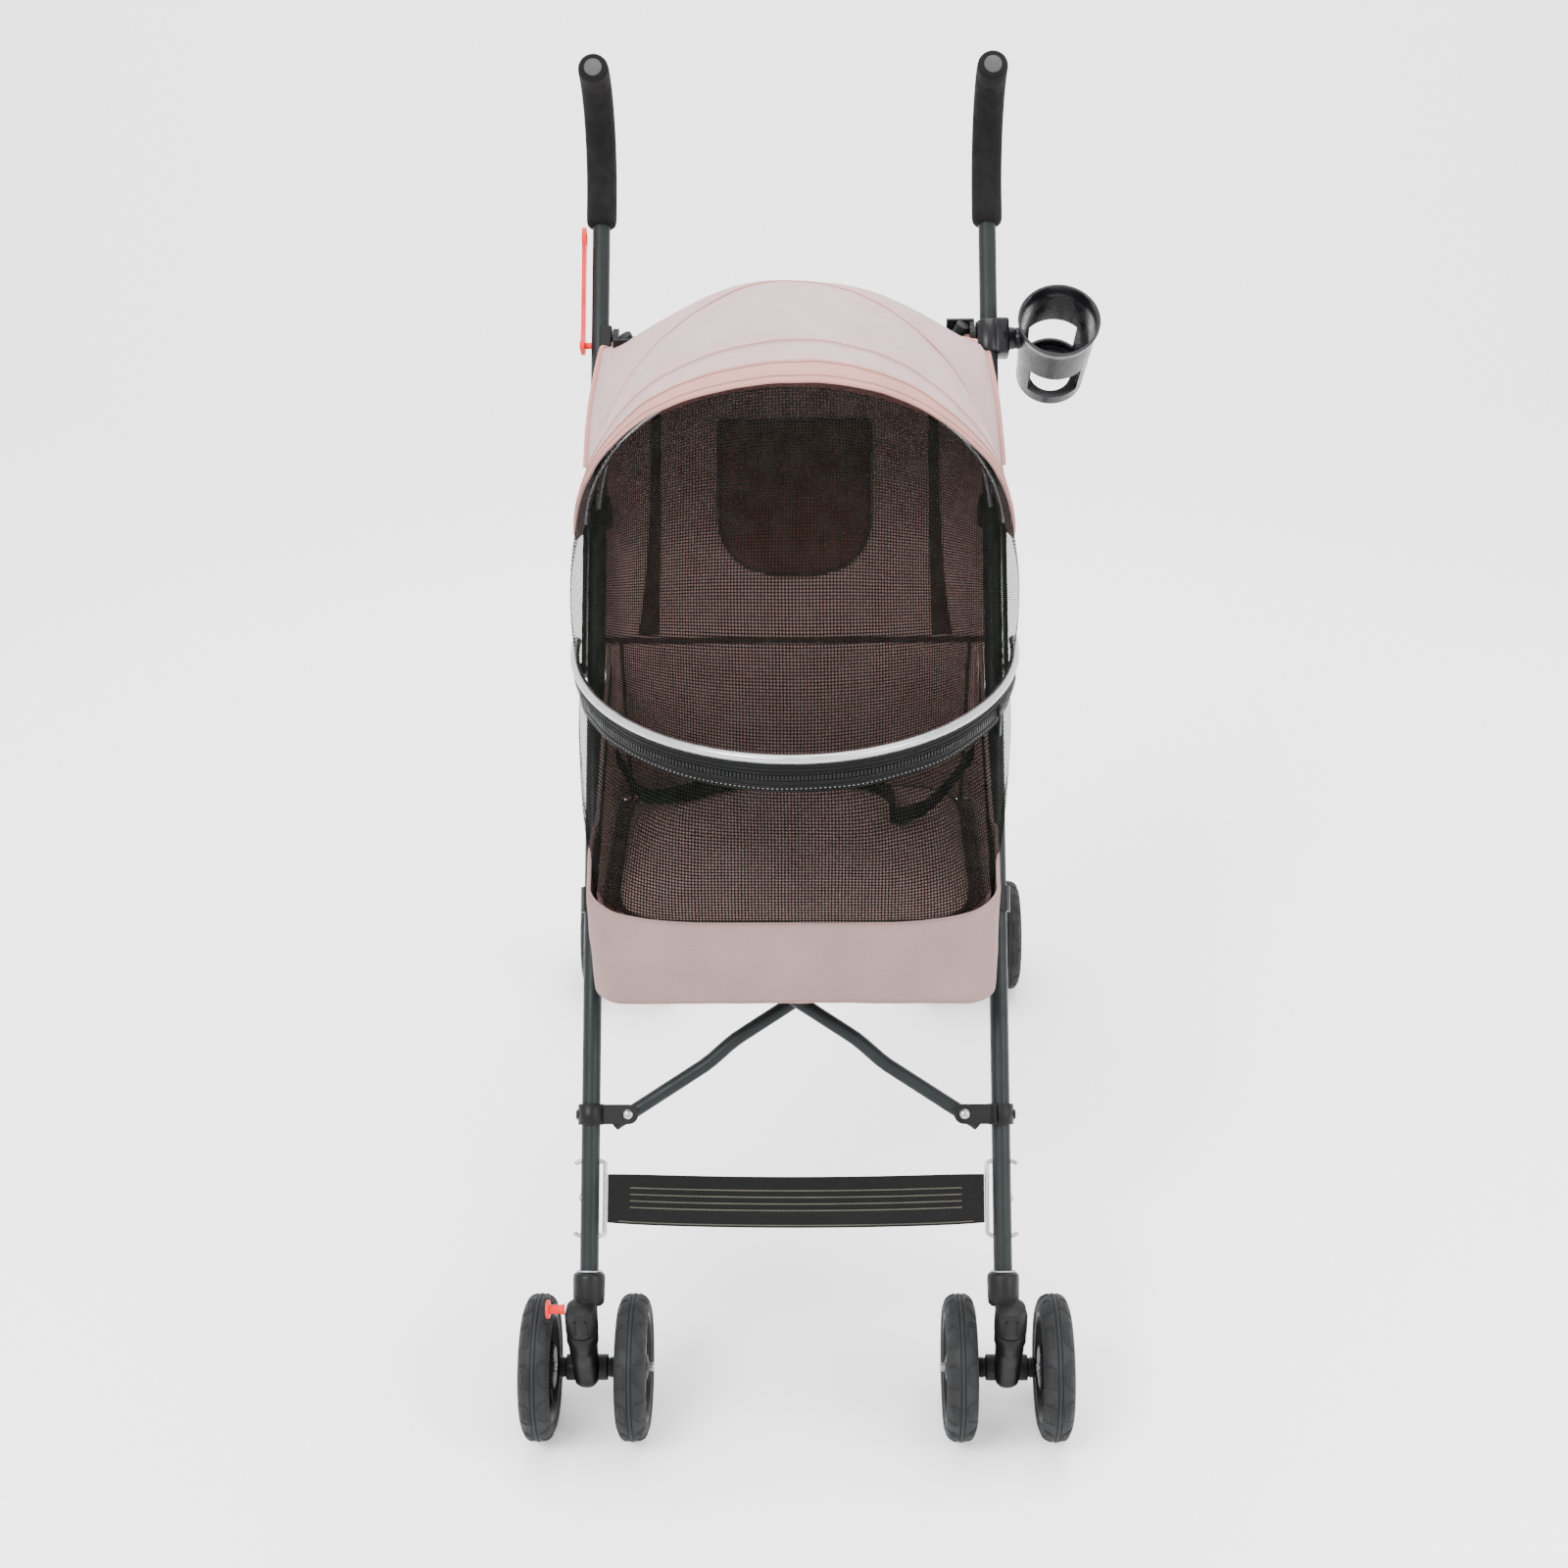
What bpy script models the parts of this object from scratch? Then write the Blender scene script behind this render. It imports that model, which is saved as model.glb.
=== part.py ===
"""Folding pet stroller: two side frames joined by scissor braces, double wheels and a mesh cabin.

Metres, +Z up, the front of the stroller faces -Y and its right-hand side frame is at +X.
Working coordinates put the front wheel centres at Y = 0 on a floor at Z = 0, and one empty
then moves everything so that the origin is the middle of the footprint.
"""

from math import atan2, cos, pi, radians, sin

import bmesh
import bpy
from mathutils import Matrix, Vector

# Driving dimensions of the frame
TUBE_X = 0.1765  # side frames, from the middle plane to the tube centre
TUBE_R = 0.008
TUBE_SLOPE = radians(54)
TUBE_FOOT = (0.003, 0.1505)  # Y and Z where distances along the tube start
HANDLE_START = 0.975  # along the tube, where the handle begins to bend
HANDLE_BEND_R = 0.085
HANDLE_TURN = radians(96)
GRIP_R = 0.0138
GRIP_LOW = 0.95
CLEAR = 0.0003  # gap that touching pieces keep
BORE_R = TUBE_R + CLEAR

# Wheels
WHEEL_R = 0.0635
TYRE_BORE = 0.048
TYRE_HALF = 0.014
PAIR_HALF = 0.0408  # from the middle of a pair of wheels to each wheel
WHEEL_SIDES = 28
FRONT_X = 0.182
REAR_X = 0.196
REAR_Y = 0.72
SWIVEL_Y = -0.018
AXLE_R = 0.004
AXLE_BORE = AXLE_R + CLEAR

# Scissor braces
ARM_R = 0.0062
ARM_OFFSET = 0.0074  # each arm of a scissor stands this far off their middle plane
ARM_END = 0.009  # how far an arm runs on past its rivet
PLATE = 0.003
PLATE_GAP = 0.0008
OPEN_GAP = 0.0055  # gap beside the loose end of an upper arm
OPEN_SHORT = 0.002  # how far an upper arm's loose end stops short of its rivet
PIN_R = 0.0024
RIVET_X = 0.1497
UPPER_T = 0.843
LOWER_T = 0.1452
LOWER_X = 0.1445
SLIDER_T = 0.331
LEG_T = 0.68
LEG_BACK = 0.026  # the rear leg's pivot stands this far behind the tube
FOLD_TRAVEL = 0.17
LEG_END = 0.078  # from the end of the rear leg's tube to the rear axle
LEG_TURN = radians(45)

# Hood, rim and cabin
HOOD_PIVOT = (0.385, 0.675)
HOOD_FRONT = (radians(129), 0.195, 0.2615)  # tilt, half width, height of its arch
HOOD_REAR = (radians(73.5), 0.187, 0.2285)
RIM_Y = 0.333
RIM_HALF = 0.1945
RIM_REACH = 0.255
RIM_Z = (0.6047, 0.616)
TUB_FRONT = 0.078
TUB_BACK = 0.345
TUB_Z = 0.438
TUB_HALF = 0.163
TUB_RIM = (0.468, 0.597)  # height of the tub's edge at its front and its back
SKIRT_Z = 0.392  # lower edge of the band that hangs from the tub's front
FABRIC = 0.003
NET = 0.0016


def empty_scene():
    for obj in list(bpy.data.objects):
        bpy.data.objects.remove(obj, do_unlink=True)


def new_collection(name):
    group = bpy.data.collections.new(name)
    bpy.context.scene.collection.children.link(group)
    return group


empty_scene()
PARTS = new_collection("pet_stroller")
CUTTERS = new_collection("cutters")
ORIGIN = bpy.data.objects.new("stroller_origin", None)
PARTS.objects.link(ORIGIN)


def material(name, colour, roughness, metallic=0.0):
    mat = bpy.data.materials.new(name)
    mat.use_nodes = True
    shader = mat.node_tree.nodes["Principled BSDF"]
    shader.inputs["Base Color"].default_value = (*colour, 1.0)
    shader.inputs["Roughness"].default_value = roughness
    shader.inputs["Metallic"].default_value = metallic
    return mat


FRAME_PAINT = ((0.028, 0.033, 0.035), 0.32, 0.6)
BLACK_PLASTIC = ((0.022, 0.022, 0.024), 0.45, 0.0)
FOAM = ((0.013, 0.012, 0.012), 0.9, 0.0)
STEEL = ((0.55, 0.55, 0.56), 0.3, 1.0)
SILVER = ((0.62, 0.62, 0.63), 0.28, 1.0)
TYRE_RUBBER = ((0.045, 0.048, 0.052), 0.7, 0.0)
RED_PLASTIC = ((0.82, 0.05, 0.03), 0.35, 0.0)
PINK_CLOTH = ((0.66, 0.53, 0.54), 0.85, 0.0)
DARK_NET = ((0.03, 0.034, 0.032), 0.8, 0.0)
WEBBING = ((0.015, 0.015, 0.015), 0.85, 0.0)


def finish(obj, look, bevel=0.0, segments=1):
    """Gives a part its own material, its place in the assembly and softened edges."""
    obj.data.materials.append(material(obj.name, *look))
    obj.parent = ORIGIN
    PARTS.objects.link(obj)
    if bevel:
        soften(obj, bevel, segments)
    return obj


def soften(obj, width, segments=1):
    mod = obj.modifiers.new("soft_edges", "BEVEL")
    mod.width = width
    mod.segments = segments
    mod.limit_method = "ANGLE"


def hide(obj):
    obj.hide_render = True
    obj.display_type = "WIRE"
    obj.parent = ORIGIN
    CUTTERS.objects.link(obj)
    return obj


def boolean(obj, other, operation):
    mod = obj.modifiers.new(operation.lower(), "BOOLEAN")
    mod.operation = operation
    mod.object = hide(other)
    return obj


def fuse(obj, *others):
    for other in others:
        boolean(obj, other, "UNION")
    return obj


def cut(obj, *others):
    for other in others:
        boolean(obj, other, "DIFFERENCE")
    return obj


def mesh_object(name, bm, place=(0, 0, 0)):
    mesh = bpy.data.meshes.new(name)
    bm.to_mesh(mesh)
    bm.free()
    obj = bpy.data.objects.new(name, mesh)
    obj.location = place
    return obj


def box(name, centre, size, tilt=0.0, origin=None):
    """A block, tilted about X; its origin may be somewhere else, as on a joint's axis."""
    origin = Vector(centre if origin is None else origin)
    bm = bmesh.new()
    bmesh.ops.create_cube(bm, size=1)
    bmesh.ops.scale(bm, vec=size, verts=bm.verts)
    bmesh.ops.rotate(bm, matrix=Matrix.Rotation(tilt, 3, "X"), verts=bm.verts)
    bmesh.ops.translate(bm, vec=Vector(centre) - origin, verts=bm.verts)
    return mesh_object(name, bm, origin)


def rod(name, start, end, radius, sides=16, end_radius=None, before=0.0, after=0.0):
    """A round bar from start to end, with its origin at start."""
    start, end = Vector(start), Vector(end)
    length = (end - start).length
    bm = bmesh.new()
    bmesh.ops.create_cone(
        bm,
        cap_ends=True,
        segments=sides,
        radius1=radius,
        radius2=radius if end_radius is None else end_radius,
        depth=length + before + after,
    )
    bmesh.ops.translate(bm, vec=(0, 0, (length + after - before) / 2), verts=bm.verts)
    obj = mesh_object(name, bm, start)
    obj.rotation_euler = (end - start).to_track_quat("Z", "Y").to_euler()
    smooth(obj)
    return obj


def smooth(obj):
    obj.data.shade_smooth()
    obj.data.set_sharp_from_angle(angle=radians(35))


def wire(name, points, radius, resolution=3, closed=False):
    data = bpy.data.curves.new(name, "CURVE")
    data.dimensions = "3D"
    data.bevel_depth = radius
    data.bevel_resolution = resolution
    data.use_fill_caps = not closed
    line = data.splines.new("POLY")
    line.points.add(len(points) - 1)
    for spot, point in zip(line.points, points):
        spot.co = (*point, 1)
    line.use_cyclic_u = closed
    return bpy.data.objects.new(name, data)


def wire_mesh(name, points, radius, resolution=3):
    """The same as wire, turned into a mesh with welded caps so that it can be cut or joined."""
    curve = wire(name + "_path", points, radius, resolution)
    bpy.context.scene.collection.objects.link(curve)
    depsgraph = bpy.context.evaluated_depsgraph_get()
    mesh = bpy.data.meshes.new_from_object(curve.evaluated_get(depsgraph))
    bpy.data.objects.remove(curve, do_unlink=True)
    bm = bmesh.new()
    bm.from_mesh(mesh)
    bmesh.ops.remove_doubles(bm, verts=bm.verts, dist=0.00001)
    bm.to_mesh(mesh)
    bm.free()
    obj = bpy.data.objects.new(name, mesh)
    smooth(obj)
    return obj


def turned(name, profile, centre):
    """A ring turned about X from a closed profile of (radius, x) points, flat side down."""
    bm = bmesh.new()
    half_step = pi / WHEEL_SIDES
    spots = [bm.verts.new((r * cos(half_step), r * sin(half_step), x)) for r, x in profile]
    for one, two in zip(spots, spots[1:] + spots[:1]):
        bm.edges.new((one, two))
    obj = mesh_object(name, bm, centre)
    screw = obj.modifiers.new("turn", "SCREW")
    screw.axis = "Z"
    screw.steps = screw.render_steps = WHEEL_SIDES
    screw.use_merge_vertices = True
    screw.merge_threshold = 0.00001
    obj.rotation_euler = (0, pi / 2, 0)
    return obj


def loft(name, rings, thickness, inward=1.0):
    """A sheet through rows of points, thickened to one side."""
    bm = bmesh.new()
    rows = [[bm.verts.new(point) for point in ring] for ring in rings]
    for low, high in zip(rows, rows[1:]):
        for k in range(len(low) - 1):
            bm.faces.new((low[k], low[k + 1], high[k + 1], high[k]))
    obj = mesh_object(name, bm)
    smooth(obj)
    solid = obj.modifiers.new("thickness", "SOLIDIFY")
    solid.thickness = thickness
    solid.offset = -inward
    return obj


def on_tube(along, out=0.0, x=TUBE_X):
    """A point by its distance along the main tube and its distance out in front of it."""
    y = TUBE_FOOT[0] + along * cos(TUBE_SLOPE) - out * sin(TUBE_SLOPE)
    z = TUBE_FOOT[1] + along * sin(TUBE_SLOPE) + out * cos(TUBE_SLOPE)
    return Vector((x, y, z))


def sided(point, side):
    return Vector((point[0] * side, point[1], point[2]))


def tilt_of(way):
    """The turn about X that brings local Z onto a direction in the YZ plane."""
    return atan2(-way.y, way.z)


TUBE_TILT = TUBE_SLOPE - pi / 2
LEG_TOP = on_tube(LEG_T, -LEG_BACK)
REAR_AXLE = Vector((REAR_X, REAR_Y, WHEEL_R))
LEG_LINE = Vector((0, REAR_Y - LEG_TOP.y, WHEEL_R - LEG_TOP.z)).normalized()
LEG_LENGTH = (Vector((0, REAR_Y, WHEEL_R)) - Vector((0, LEG_TOP.y, LEG_TOP.z))).length
UPPER = on_tube(UPPER_T, 0, RIVET_X)


def foot_distance():
    """How far down the rear leg the upper brace ends, so that its arms keep their length."""
    lever = Vector((0, UPPER.y - LEG_TOP.y, UPPER.z - LEG_TOP.z))
    open_angle = lever.angle(LEG_LINE)
    wide, narrow = 2 * RIVET_X, 2 * RIVET_X - FOLD_TRAVEL
    spread = cos(open_angle) - cos(open_angle + LEG_TURN)
    return (wide**2 - narrow**2) / (2 * lever.length * spread)


FOOT_DOWN = foot_distance()
FOOT = LEG_TOP + LEG_LINE * FOOT_DOWN
FOOT.x = RIVET_X
BRACE_UP = Vector((0, UPPER.y - FOOT.y, UPPER.z - FOOT.z)).normalized()
BRACE_OUT = Vector((0, -BRACE_UP.z, BRACE_UP.y))
BRACE_TILT = tilt_of(BRACE_UP)


def along_leg(distance, x=TUBE_X):
    point = LEG_TOP + LEG_LINE * distance
    return Vector((x, point.y, point.z))


LEG_TILT = tilt_of(-LEG_LINE)


def tube_path(start, turn=HANDLE_TURN, lift=0.0, steps=9):
    """The main tube's centre line from a place along it, through the bend of the handle."""
    points = [on_tube(start), on_tube(HANDLE_START)]
    centre = on_tube(HANDLE_START, HANDLE_BEND_R)
    for k in range(1, steps + 1):
        angle = turn * k / steps
        reach = TUBE_SLOPE - pi / 2 + angle
        points.append(centre + HANDLE_BEND_R * Vector((0, cos(reach), sin(reach))))
    if lift:
        points.append(points[-1] + lift * (points[-1] - points[-2]).normalized())
    return points


def place(points, side):
    return [sided(p, side) for p in points]


def main_tube(side, label):
    tube = wire(f"frame_tube_{label}", place(tube_path(-0.004, lift=0.0015), side), TUBE_R, 4)
    finish(tube, FRAME_PAINT)
    grip = wire_mesh(f"handle_grip_{label}", place(tube_path(GRIP_LOW), side), GRIP_R, 4)
    hole = place(tube_path(GRIP_LOW - 0.01, lift=0.01), side)
    cut(finish(grip, FOAM), wire_mesh(f"grip_hole_{label}", hole, BORE_R, 4))


def tube_hole(name, side, low, high):
    return rod(name, sided(on_tube(low), side), sided(on_tube(high), side), BORE_R)


def side_joint(side, label):
    """Moulded collar that carries the rear leg's pivot, the hood and the end of the rim."""
    low, high = LEG_T - 0.014, LEG_T + 0.014
    start, end = sided(on_tube(low), side), sided(on_tube(high), side)
    collar = rod(f"side_joint_{label}", start, end, 0.0108)
    finish(collar, BLACK_PLASTIC)
    ears = [
        box(
            f"joint_ear_{label}_{k}",
            sided(on_tube(LEG_T, -0.018, TUBE_X + offset), side),
            (0.003, 0.034, 0.018),
            TUBE_TILT,
        )
        for k, offset in enumerate((-0.0102, 0.0102))
    ]
    reach = 0.0117
    pin = rod(
        f"joint_pin_{label}",
        sided(LEG_TOP + Vector((-reach, 0, 0)), side),
        sided(LEG_TOP + Vector((reach, 0, 0)), side),
        0.003,
        12,
    )
    plate_x = TUBE_X + 0.0107
    plate = box(
        f"joint_plate_{label}",
        sided(on_tube(0.607, 0, plate_x), side),
        (0.0036, 0.017, 0.152),
        TUBE_TILT,
    )
    knob = rod(
        f"joint_knob_{label}",
        sided(on_tube(0.537, 0, plate_x - 0.001), side),
        sided(on_tube(0.537, 0, plate_x + 0.0065), side),
        0.0055,
        12,
    )
    fuse(collar, *ears, pin, plate, knob)
    cut(collar, tube_hole(f"joint_hole_{label}", side, low - 0.16, high + 0.01))


def arm_side(side):
    """The arm that starts on the left frame runs in front of the one from the right, at its top."""
    return -side


def upper_brace(side, label):
    """Saddle, swivel, arm and foot of one half of the rear scissor."""
    saddle = box(
        f"upper_brace_bracket_{label}",
        sided(on_tube(UPPER_T, 0, TUBE_X - 0.0058), side),
        (0.0107, 0.019, 0.020),
        TUBE_TILT,
    )
    finish(saddle, BLACK_PLASTIC, 0.001)
    cut(saddle, tube_hole(f"saddle_hole_{label}", side, UPPER_T - 0.03, UPPER_T + 0.03))

    out = arm_side(side) * ARM_OFFSET
    web_x = TUBE_X - 0.0118
    pivot(f"upper_brace_swivel_{label}", UPPER, side, web_x, arm_side(side), PLATE_GAP, True)

    start = sided(UPPER + BRACE_OUT * out, side)
    far = sided(FOOT + BRACE_OUT * out, -side)
    arm = rod(f"upper_brace_arm_{label}", start, far, ARM_R, 14, before=ARM_END, after=-OPEN_SHORT)
    finish(arm, FRAME_PAINT)
    hole_from = start - BRACE_OUT * 0.02
    hole = rod(f"upper_arm_hole_{label}", hole_from, start + BRACE_OUT * 0.02, PIN_R + CLEAR, 12)
    cut(arm, hole)

    pivot(f"upper_brace_foot_{label}", FOOT, side, web_x, -arm_side(side), OPEN_GAP, False)


def pivot(name, rivet, side, web_x, out, gap, pinned):
    """A boss that turns about X, with a plate beside the arm and, at a real rivet, its pin."""
    start = sided((web_x - 0.0005, rivet.y, rivet.z), side)
    boss = rod(name, start, sided((web_x - 0.0055, rivet.y, rivet.z), side), 0.0095, 16)
    near = ARM_OFFSET + ARM_R + gap
    middle = Vector((0, rivet.y, rivet.z)) + BRACE_OUT * out * (near + PLATE / 2)
    inner, outer = RIVET_X - 0.011, web_x - 0.001
    plate = box(
        f"{name}_plate",
        sided(((inner + outer) / 2, middle.y, middle.z), side),
        (outer - inner, PLATE, 0.018),
        BRACE_TILT,
    )
    depth = near + PLATE
    centre = Vector((0, rivet.y, rivet.z)) + BRACE_OUT * out * (depth / 2 - 0.0005)
    web = box(
        f"{name}_web",
        sided((web_x - 0.003, centre.y, centre.z), side),
        (0.0043, depth - 0.001, 0.0165),
        BRACE_TILT,
    )
    finish(boss, BLACK_PLASTIC)
    fuse(boss, plate, web)
    spot = sided((RIVET_X, rivet.y, rivet.z), side)
    head_from = spot + BRACE_OUT * out * (depth - 0.001)
    head = rod(f"{name}_rivet", head_from, spot + BRACE_OUT * out * (depth + 0.0015), 0.0045, 12)
    fuse(boss, head)
    if pinned:
        low, high = ARM_OFFSET - ARM_R - 0.001, near + 0.001
        ends = [spot + BRACE_OUT * out * reach for reach in (low, high)]
        fuse(boss, rod(f"{name}_pin", *ends, PIN_R, 12))


def lower_brace(side, label):
    """Fixed bracket, arm and sliding collar of one half of the front scissor."""
    out = side * ARM_OFFSET
    rivet = on_tube(LOWER_T, 0, LOWER_X)
    bracket = collar(f"lower_brace_bracket_{label}", side, LOWER_T, 0.0112, 0.018)
    plate_out = out + ARM_R + PLATE_GAP + PLATE / 2
    flat_bracket(bracket, side, LOWER_T, plate_out, rivet, out, True)
    bolt = [sided(on_tube(LOWER_T, 0, x), side) for x in (TUBE_X + 0.010, TUBE_X + 0.0135)]
    fuse(bracket, rod(f"lower_bolt_{label}", *bolt, 0.0045, 6))
    cut(bracket, tube_hole(f"bracket_hole_{label}", side, LOWER_T - 0.03, LOWER_T + 0.03))

    start = sided(on_tube(LOWER_T, out, LOWER_X), side)
    far = sided(on_tube(SLIDER_T, out, LOWER_X), -side)
    arm = rod(f"lower_brace_arm_{label}", start, far, ARM_R, 14, before=0.014, after=-0.004)
    finish(arm, FRAME_PAINT)
    ends = [sided(on_tube(LOWER_T, out + reach, LOWER_X), side) for reach in (-0.02, 0.02)]
    cut(arm, rod(f"lower_arm_hole_{label}", *ends, PIN_R + CLEAR, 12))

    slider = collar(f"lower_brace_slider_{label}", side, SLIDER_T, 0.0112, 0.022)
    held = -side * ARM_OFFSET + ARM_R + PLATE_GAP + PLATE / 2
    flat_bracket(slider, side, SLIDER_T, held, on_tube(SLIDER_T, 0, LOWER_X), 0, False)
    cut(slider, tube_hole(f"slider_hole_{label}", side, SLIDER_T - 0.03, SLIDER_T + 0.03))


def collar(name, side, along, radius, length):
    ends = [sided(on_tube(along + step), side) for step in (-length / 2, length / 2)]
    middle = (ends[0] + ends[1]) / 2
    ring = rod(name, middle, ends[1], radius, 16, before=length / 2)
    return finish(ring, BLACK_PLASTIC)


def flat_bracket(ring, side, along, plate_out, rivet, arm_out, pinned):
    """A plate from the collar to the rivet, with the rivet's head and, if it is one, its pin."""
    inner, outer = rivet.x - 0.009, TUBE_X - 0.0035
    plate = box(
        f"{ring.name}_plate",
        sided(on_tube(along, plate_out, (inner + outer) / 2), side),
        (outer - inner, PLATE, 0.017),
        TUBE_TILT,
    )
    x = TUBE_X - 0.0085
    web = box(
        f"{ring.name}_web",
        sided(on_tube(along, plate_out / 2, x), side),
        (0.0062, abs(plate_out) + 0.0025, 0.0164),
        TUBE_TILT,
    )
    top = plate_out + PLATE / 2
    heads = [sided(on_tube(along, top + step, rivet.x), side) for step in (-0.001, 0.0015)]
    fuse(ring, plate, web, rod(f"{ring.name}_rivet", *heads, 0.0045, 12))
    if pinned:
        reach = (arm_out - ARM_R - 0.001, plate_out)
        ends = [sided(on_tube(along, out, rivet.x), side) for out in reach]
        fuse(ring, rod(f"{ring.name}_pin", *ends, PIN_R, 12))


def rear_leg(side, label):
    stop = LEG_LENGTH - LEG_END
    leg = rod(f"rear_leg_{label}", sided(LEG_TOP, side), sided(along_leg(stop), side), TUBE_R, 14,
              before=0.006)
    finish(leg, FRAME_PAINT)
    ends = [sided(LEG_TOP + Vector((reach, 0, 0)), side) for reach in (-0.02, 0.02)]
    cut(leg, rod(f"leg_hole_{label}", *ends, 0.0033, 12))
    foot_saddle = box(
        f"foot_saddle_{label}",
        sided(along_leg(FOOT_DOWN, TUBE_X - 0.0085), side),
        (0.0055, 0.014, 0.020),
        LEG_TILT,
    )
    fuse(leg, foot_saddle)


def rear_housing(side, label):
    """Moulded block on the foot of the rear leg, with the stub axles of a pair of wheels."""
    low = LEG_LENGTH - LEG_END
    block = rod(
        f"rear_housing_{label}",
        sided(along_leg(low - 0.016), side),
        sided(along_leg(low + 0.010), side),
        0.0125,
        16,
    )
    finish(block, BLACK_PLASTIC)
    bridge = box(
        f"housing_bridge_{label}",
        sided(along_leg(low + 0.002, (TUBE_X + REAR_X) / 2), side),
        (0.036, 0.024, 0.020),
        LEG_TILT,
    )
    strut = box(
        f"housing_strut_{label}",
        sided(along_leg(LEG_LENGTH - 0.034, REAR_X), side),
        (0.020, 0.022, 0.068),
        LEG_TILT,
    )
    axle = sided(REAR_AXLE, side)
    across = Vector((side, 0, 0))
    boss = rod(f"housing_boss_{label}", axle - across * 0.0255, axle + across * 0.0255, 0.0115)
    reach = PAIR_HALF + 0.0150
    pin = rod(f"housing_axle_{label}", axle - across * reach, axle + across * reach, AXLE_R, 12)
    fuse(block, bridge, strut, boss, pin)
    hole = [sided(along_leg(low - 0.06), side), sided(along_leg(low + CLEAR), side)]
    cut(block, rod(f"housing_hole_{label}", *hole, BORE_R, 14))

    hinge = sided((REAR_X, REAR_Y + 0.026, WHEEL_R + 0.028), side)
    ears = [
        box(f"brake_ear_{label}_{k}", hinge + Vector((step, -0.010, 0)), (0.0034, 0.026, 0.014))
        for k, step in enumerate((-0.0152, 0.0152))
    ]
    lug = box(f"brake_lug_{label}", hinge + Vector((0, -0.019, 0)), (0.0338, 0.012, 0.016))
    fuse(block, lug, *ears)
    pedal = box(f"brake_pedal_{label}", hinge + Vector((0, 0.016, 0.003)), (0.026, 0.034, 0.006),
                radians(-12), origin=hinge)
    finish(pedal, BLACK_PLASTIC, 0.0015)


def caster(side, label):
    """Socket on the foot of the main tube, swivelling fork, axle and two front wheels."""
    low, high = sided(on_tube(-0.016), side), sided(on_tube(0.012), side)
    socket = rod(f"caster_socket_{label}", low, high, 0.0138, 18)
    finish(socket, BLACK_PLASTIC)
    swivel = Vector((FRONT_X * side, SWIVEL_Y, 0))
    barrel = rod(
        f"socket_barrel_{label}",
        swivel + Vector((0, 0, 0.1203)),
        swivel + Vector((0, 0, 0.1480)),
        0.0140,
        18,
    )
    fuse(socket, barrel)
    mouth = [sided(on_tube(-0.004 - CLEAR), side), sided(on_tube(0.03), side)]
    cut(socket, rod(f"socket_hole_{label}", *mouth, BORE_R, 16))

    top = swivel + Vector((0, 0, 0.1200))
    fork = rod(f"caster_fork_{label}", top, top - Vector((0, 0, 0.018)), 0.0136, 18)
    finish(fork, BLACK_PLASTIC)
    nose_top, nose_low = swivel + Vector((0, 0.003, 0.108)), swivel + Vector((0, 0.008, 0.060))
    nose = rod(f"fork_nose_{label}", nose_top, nose_low, 0.0125, 14, end_radius=0.0095)
    axle = Vector((FRONT_X * side, 0, WHEEL_R))
    cheek = box(f"fork_cheek_{label}", axle + Vector((0, -0.004, 0.020)), (0.017, 0.022, 0.044))
    across = Vector((1, 0, 0))
    boss = rod(f"fork_boss_{label}", axle - across * 0.0255, axle + across * 0.0255, 0.0110)
    fuse(fork, nose, cheek, boss)
    cut(fork, rod(f"fork_hole_{label}", axle - across * 0.04, axle + across * 0.04, AXLE_BORE, 12))

    pin = rod(f"front_axle_{label}", axle, axle + across * 0.0575, AXLE_R, 12, before=0.0575)
    finish(pin, STEEL)
    for k, place_x in (("inner", -side), ("outer", side)):
        centre = axle + across * place_x * PAIR_HALF
        tyre(f"front_tyre_{label}_{k}", centre)
        hub(f"front_hub_{label}_{k}", centre)


TYRE_EDGE = [(0.0560, 0.0140), (0.0610, 0.0105), (0.0635, 0.0045)]


def tyre(name, centre):
    half = [(TYRE_BORE, 0.0125), *TYRE_EDGE]
    profile = half + [(r, -x) for r, x in reversed(half)]
    return finish(turned(name, profile, centre), TYRE_RUBBER)


# Half of the dished hub's section, from the axle's hole to the rim, as radius and distance from
# the wheel's middle plane
HUB_DISH = [(AXLE_BORE, 0.0130), (0.0115, 0.0130), (0.0125, 0.0060), (0.0430, 0.0060)]


def hub(name, centre):
    """Dished hub with a closed web, standing just clear of its tyre."""
    half = [*HUB_DISH, (0.0440, 0.0110), (TYRE_BORE - CLEAR, 0.0110)]
    profile = half + [(r, -x) for r, x in reversed(half)]
    return finish(turned(name, profile, centre), BLACK_PLASTIC)


def rear_wheel(name, centre):
    """Tyre and dished hub in one, with the axle's hole through it."""
    half = [*HUB_DISH, (0.0445, 0.0115), *TYRE_EDGE]
    profile = half + [(r, -x) for r, x in reversed(half)]
    return finish(turned(name, profile, centre), TYRE_RUBBER)


def rear_wheels(side, label):
    for k, way in (("inner", -side), ("outer", side)):
        rear_wheel(f"rear_wheel_{label}_{k}", sided(REAR_AXLE, side) + Vector((way * PAIR_HALF, 0, 0)))


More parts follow.
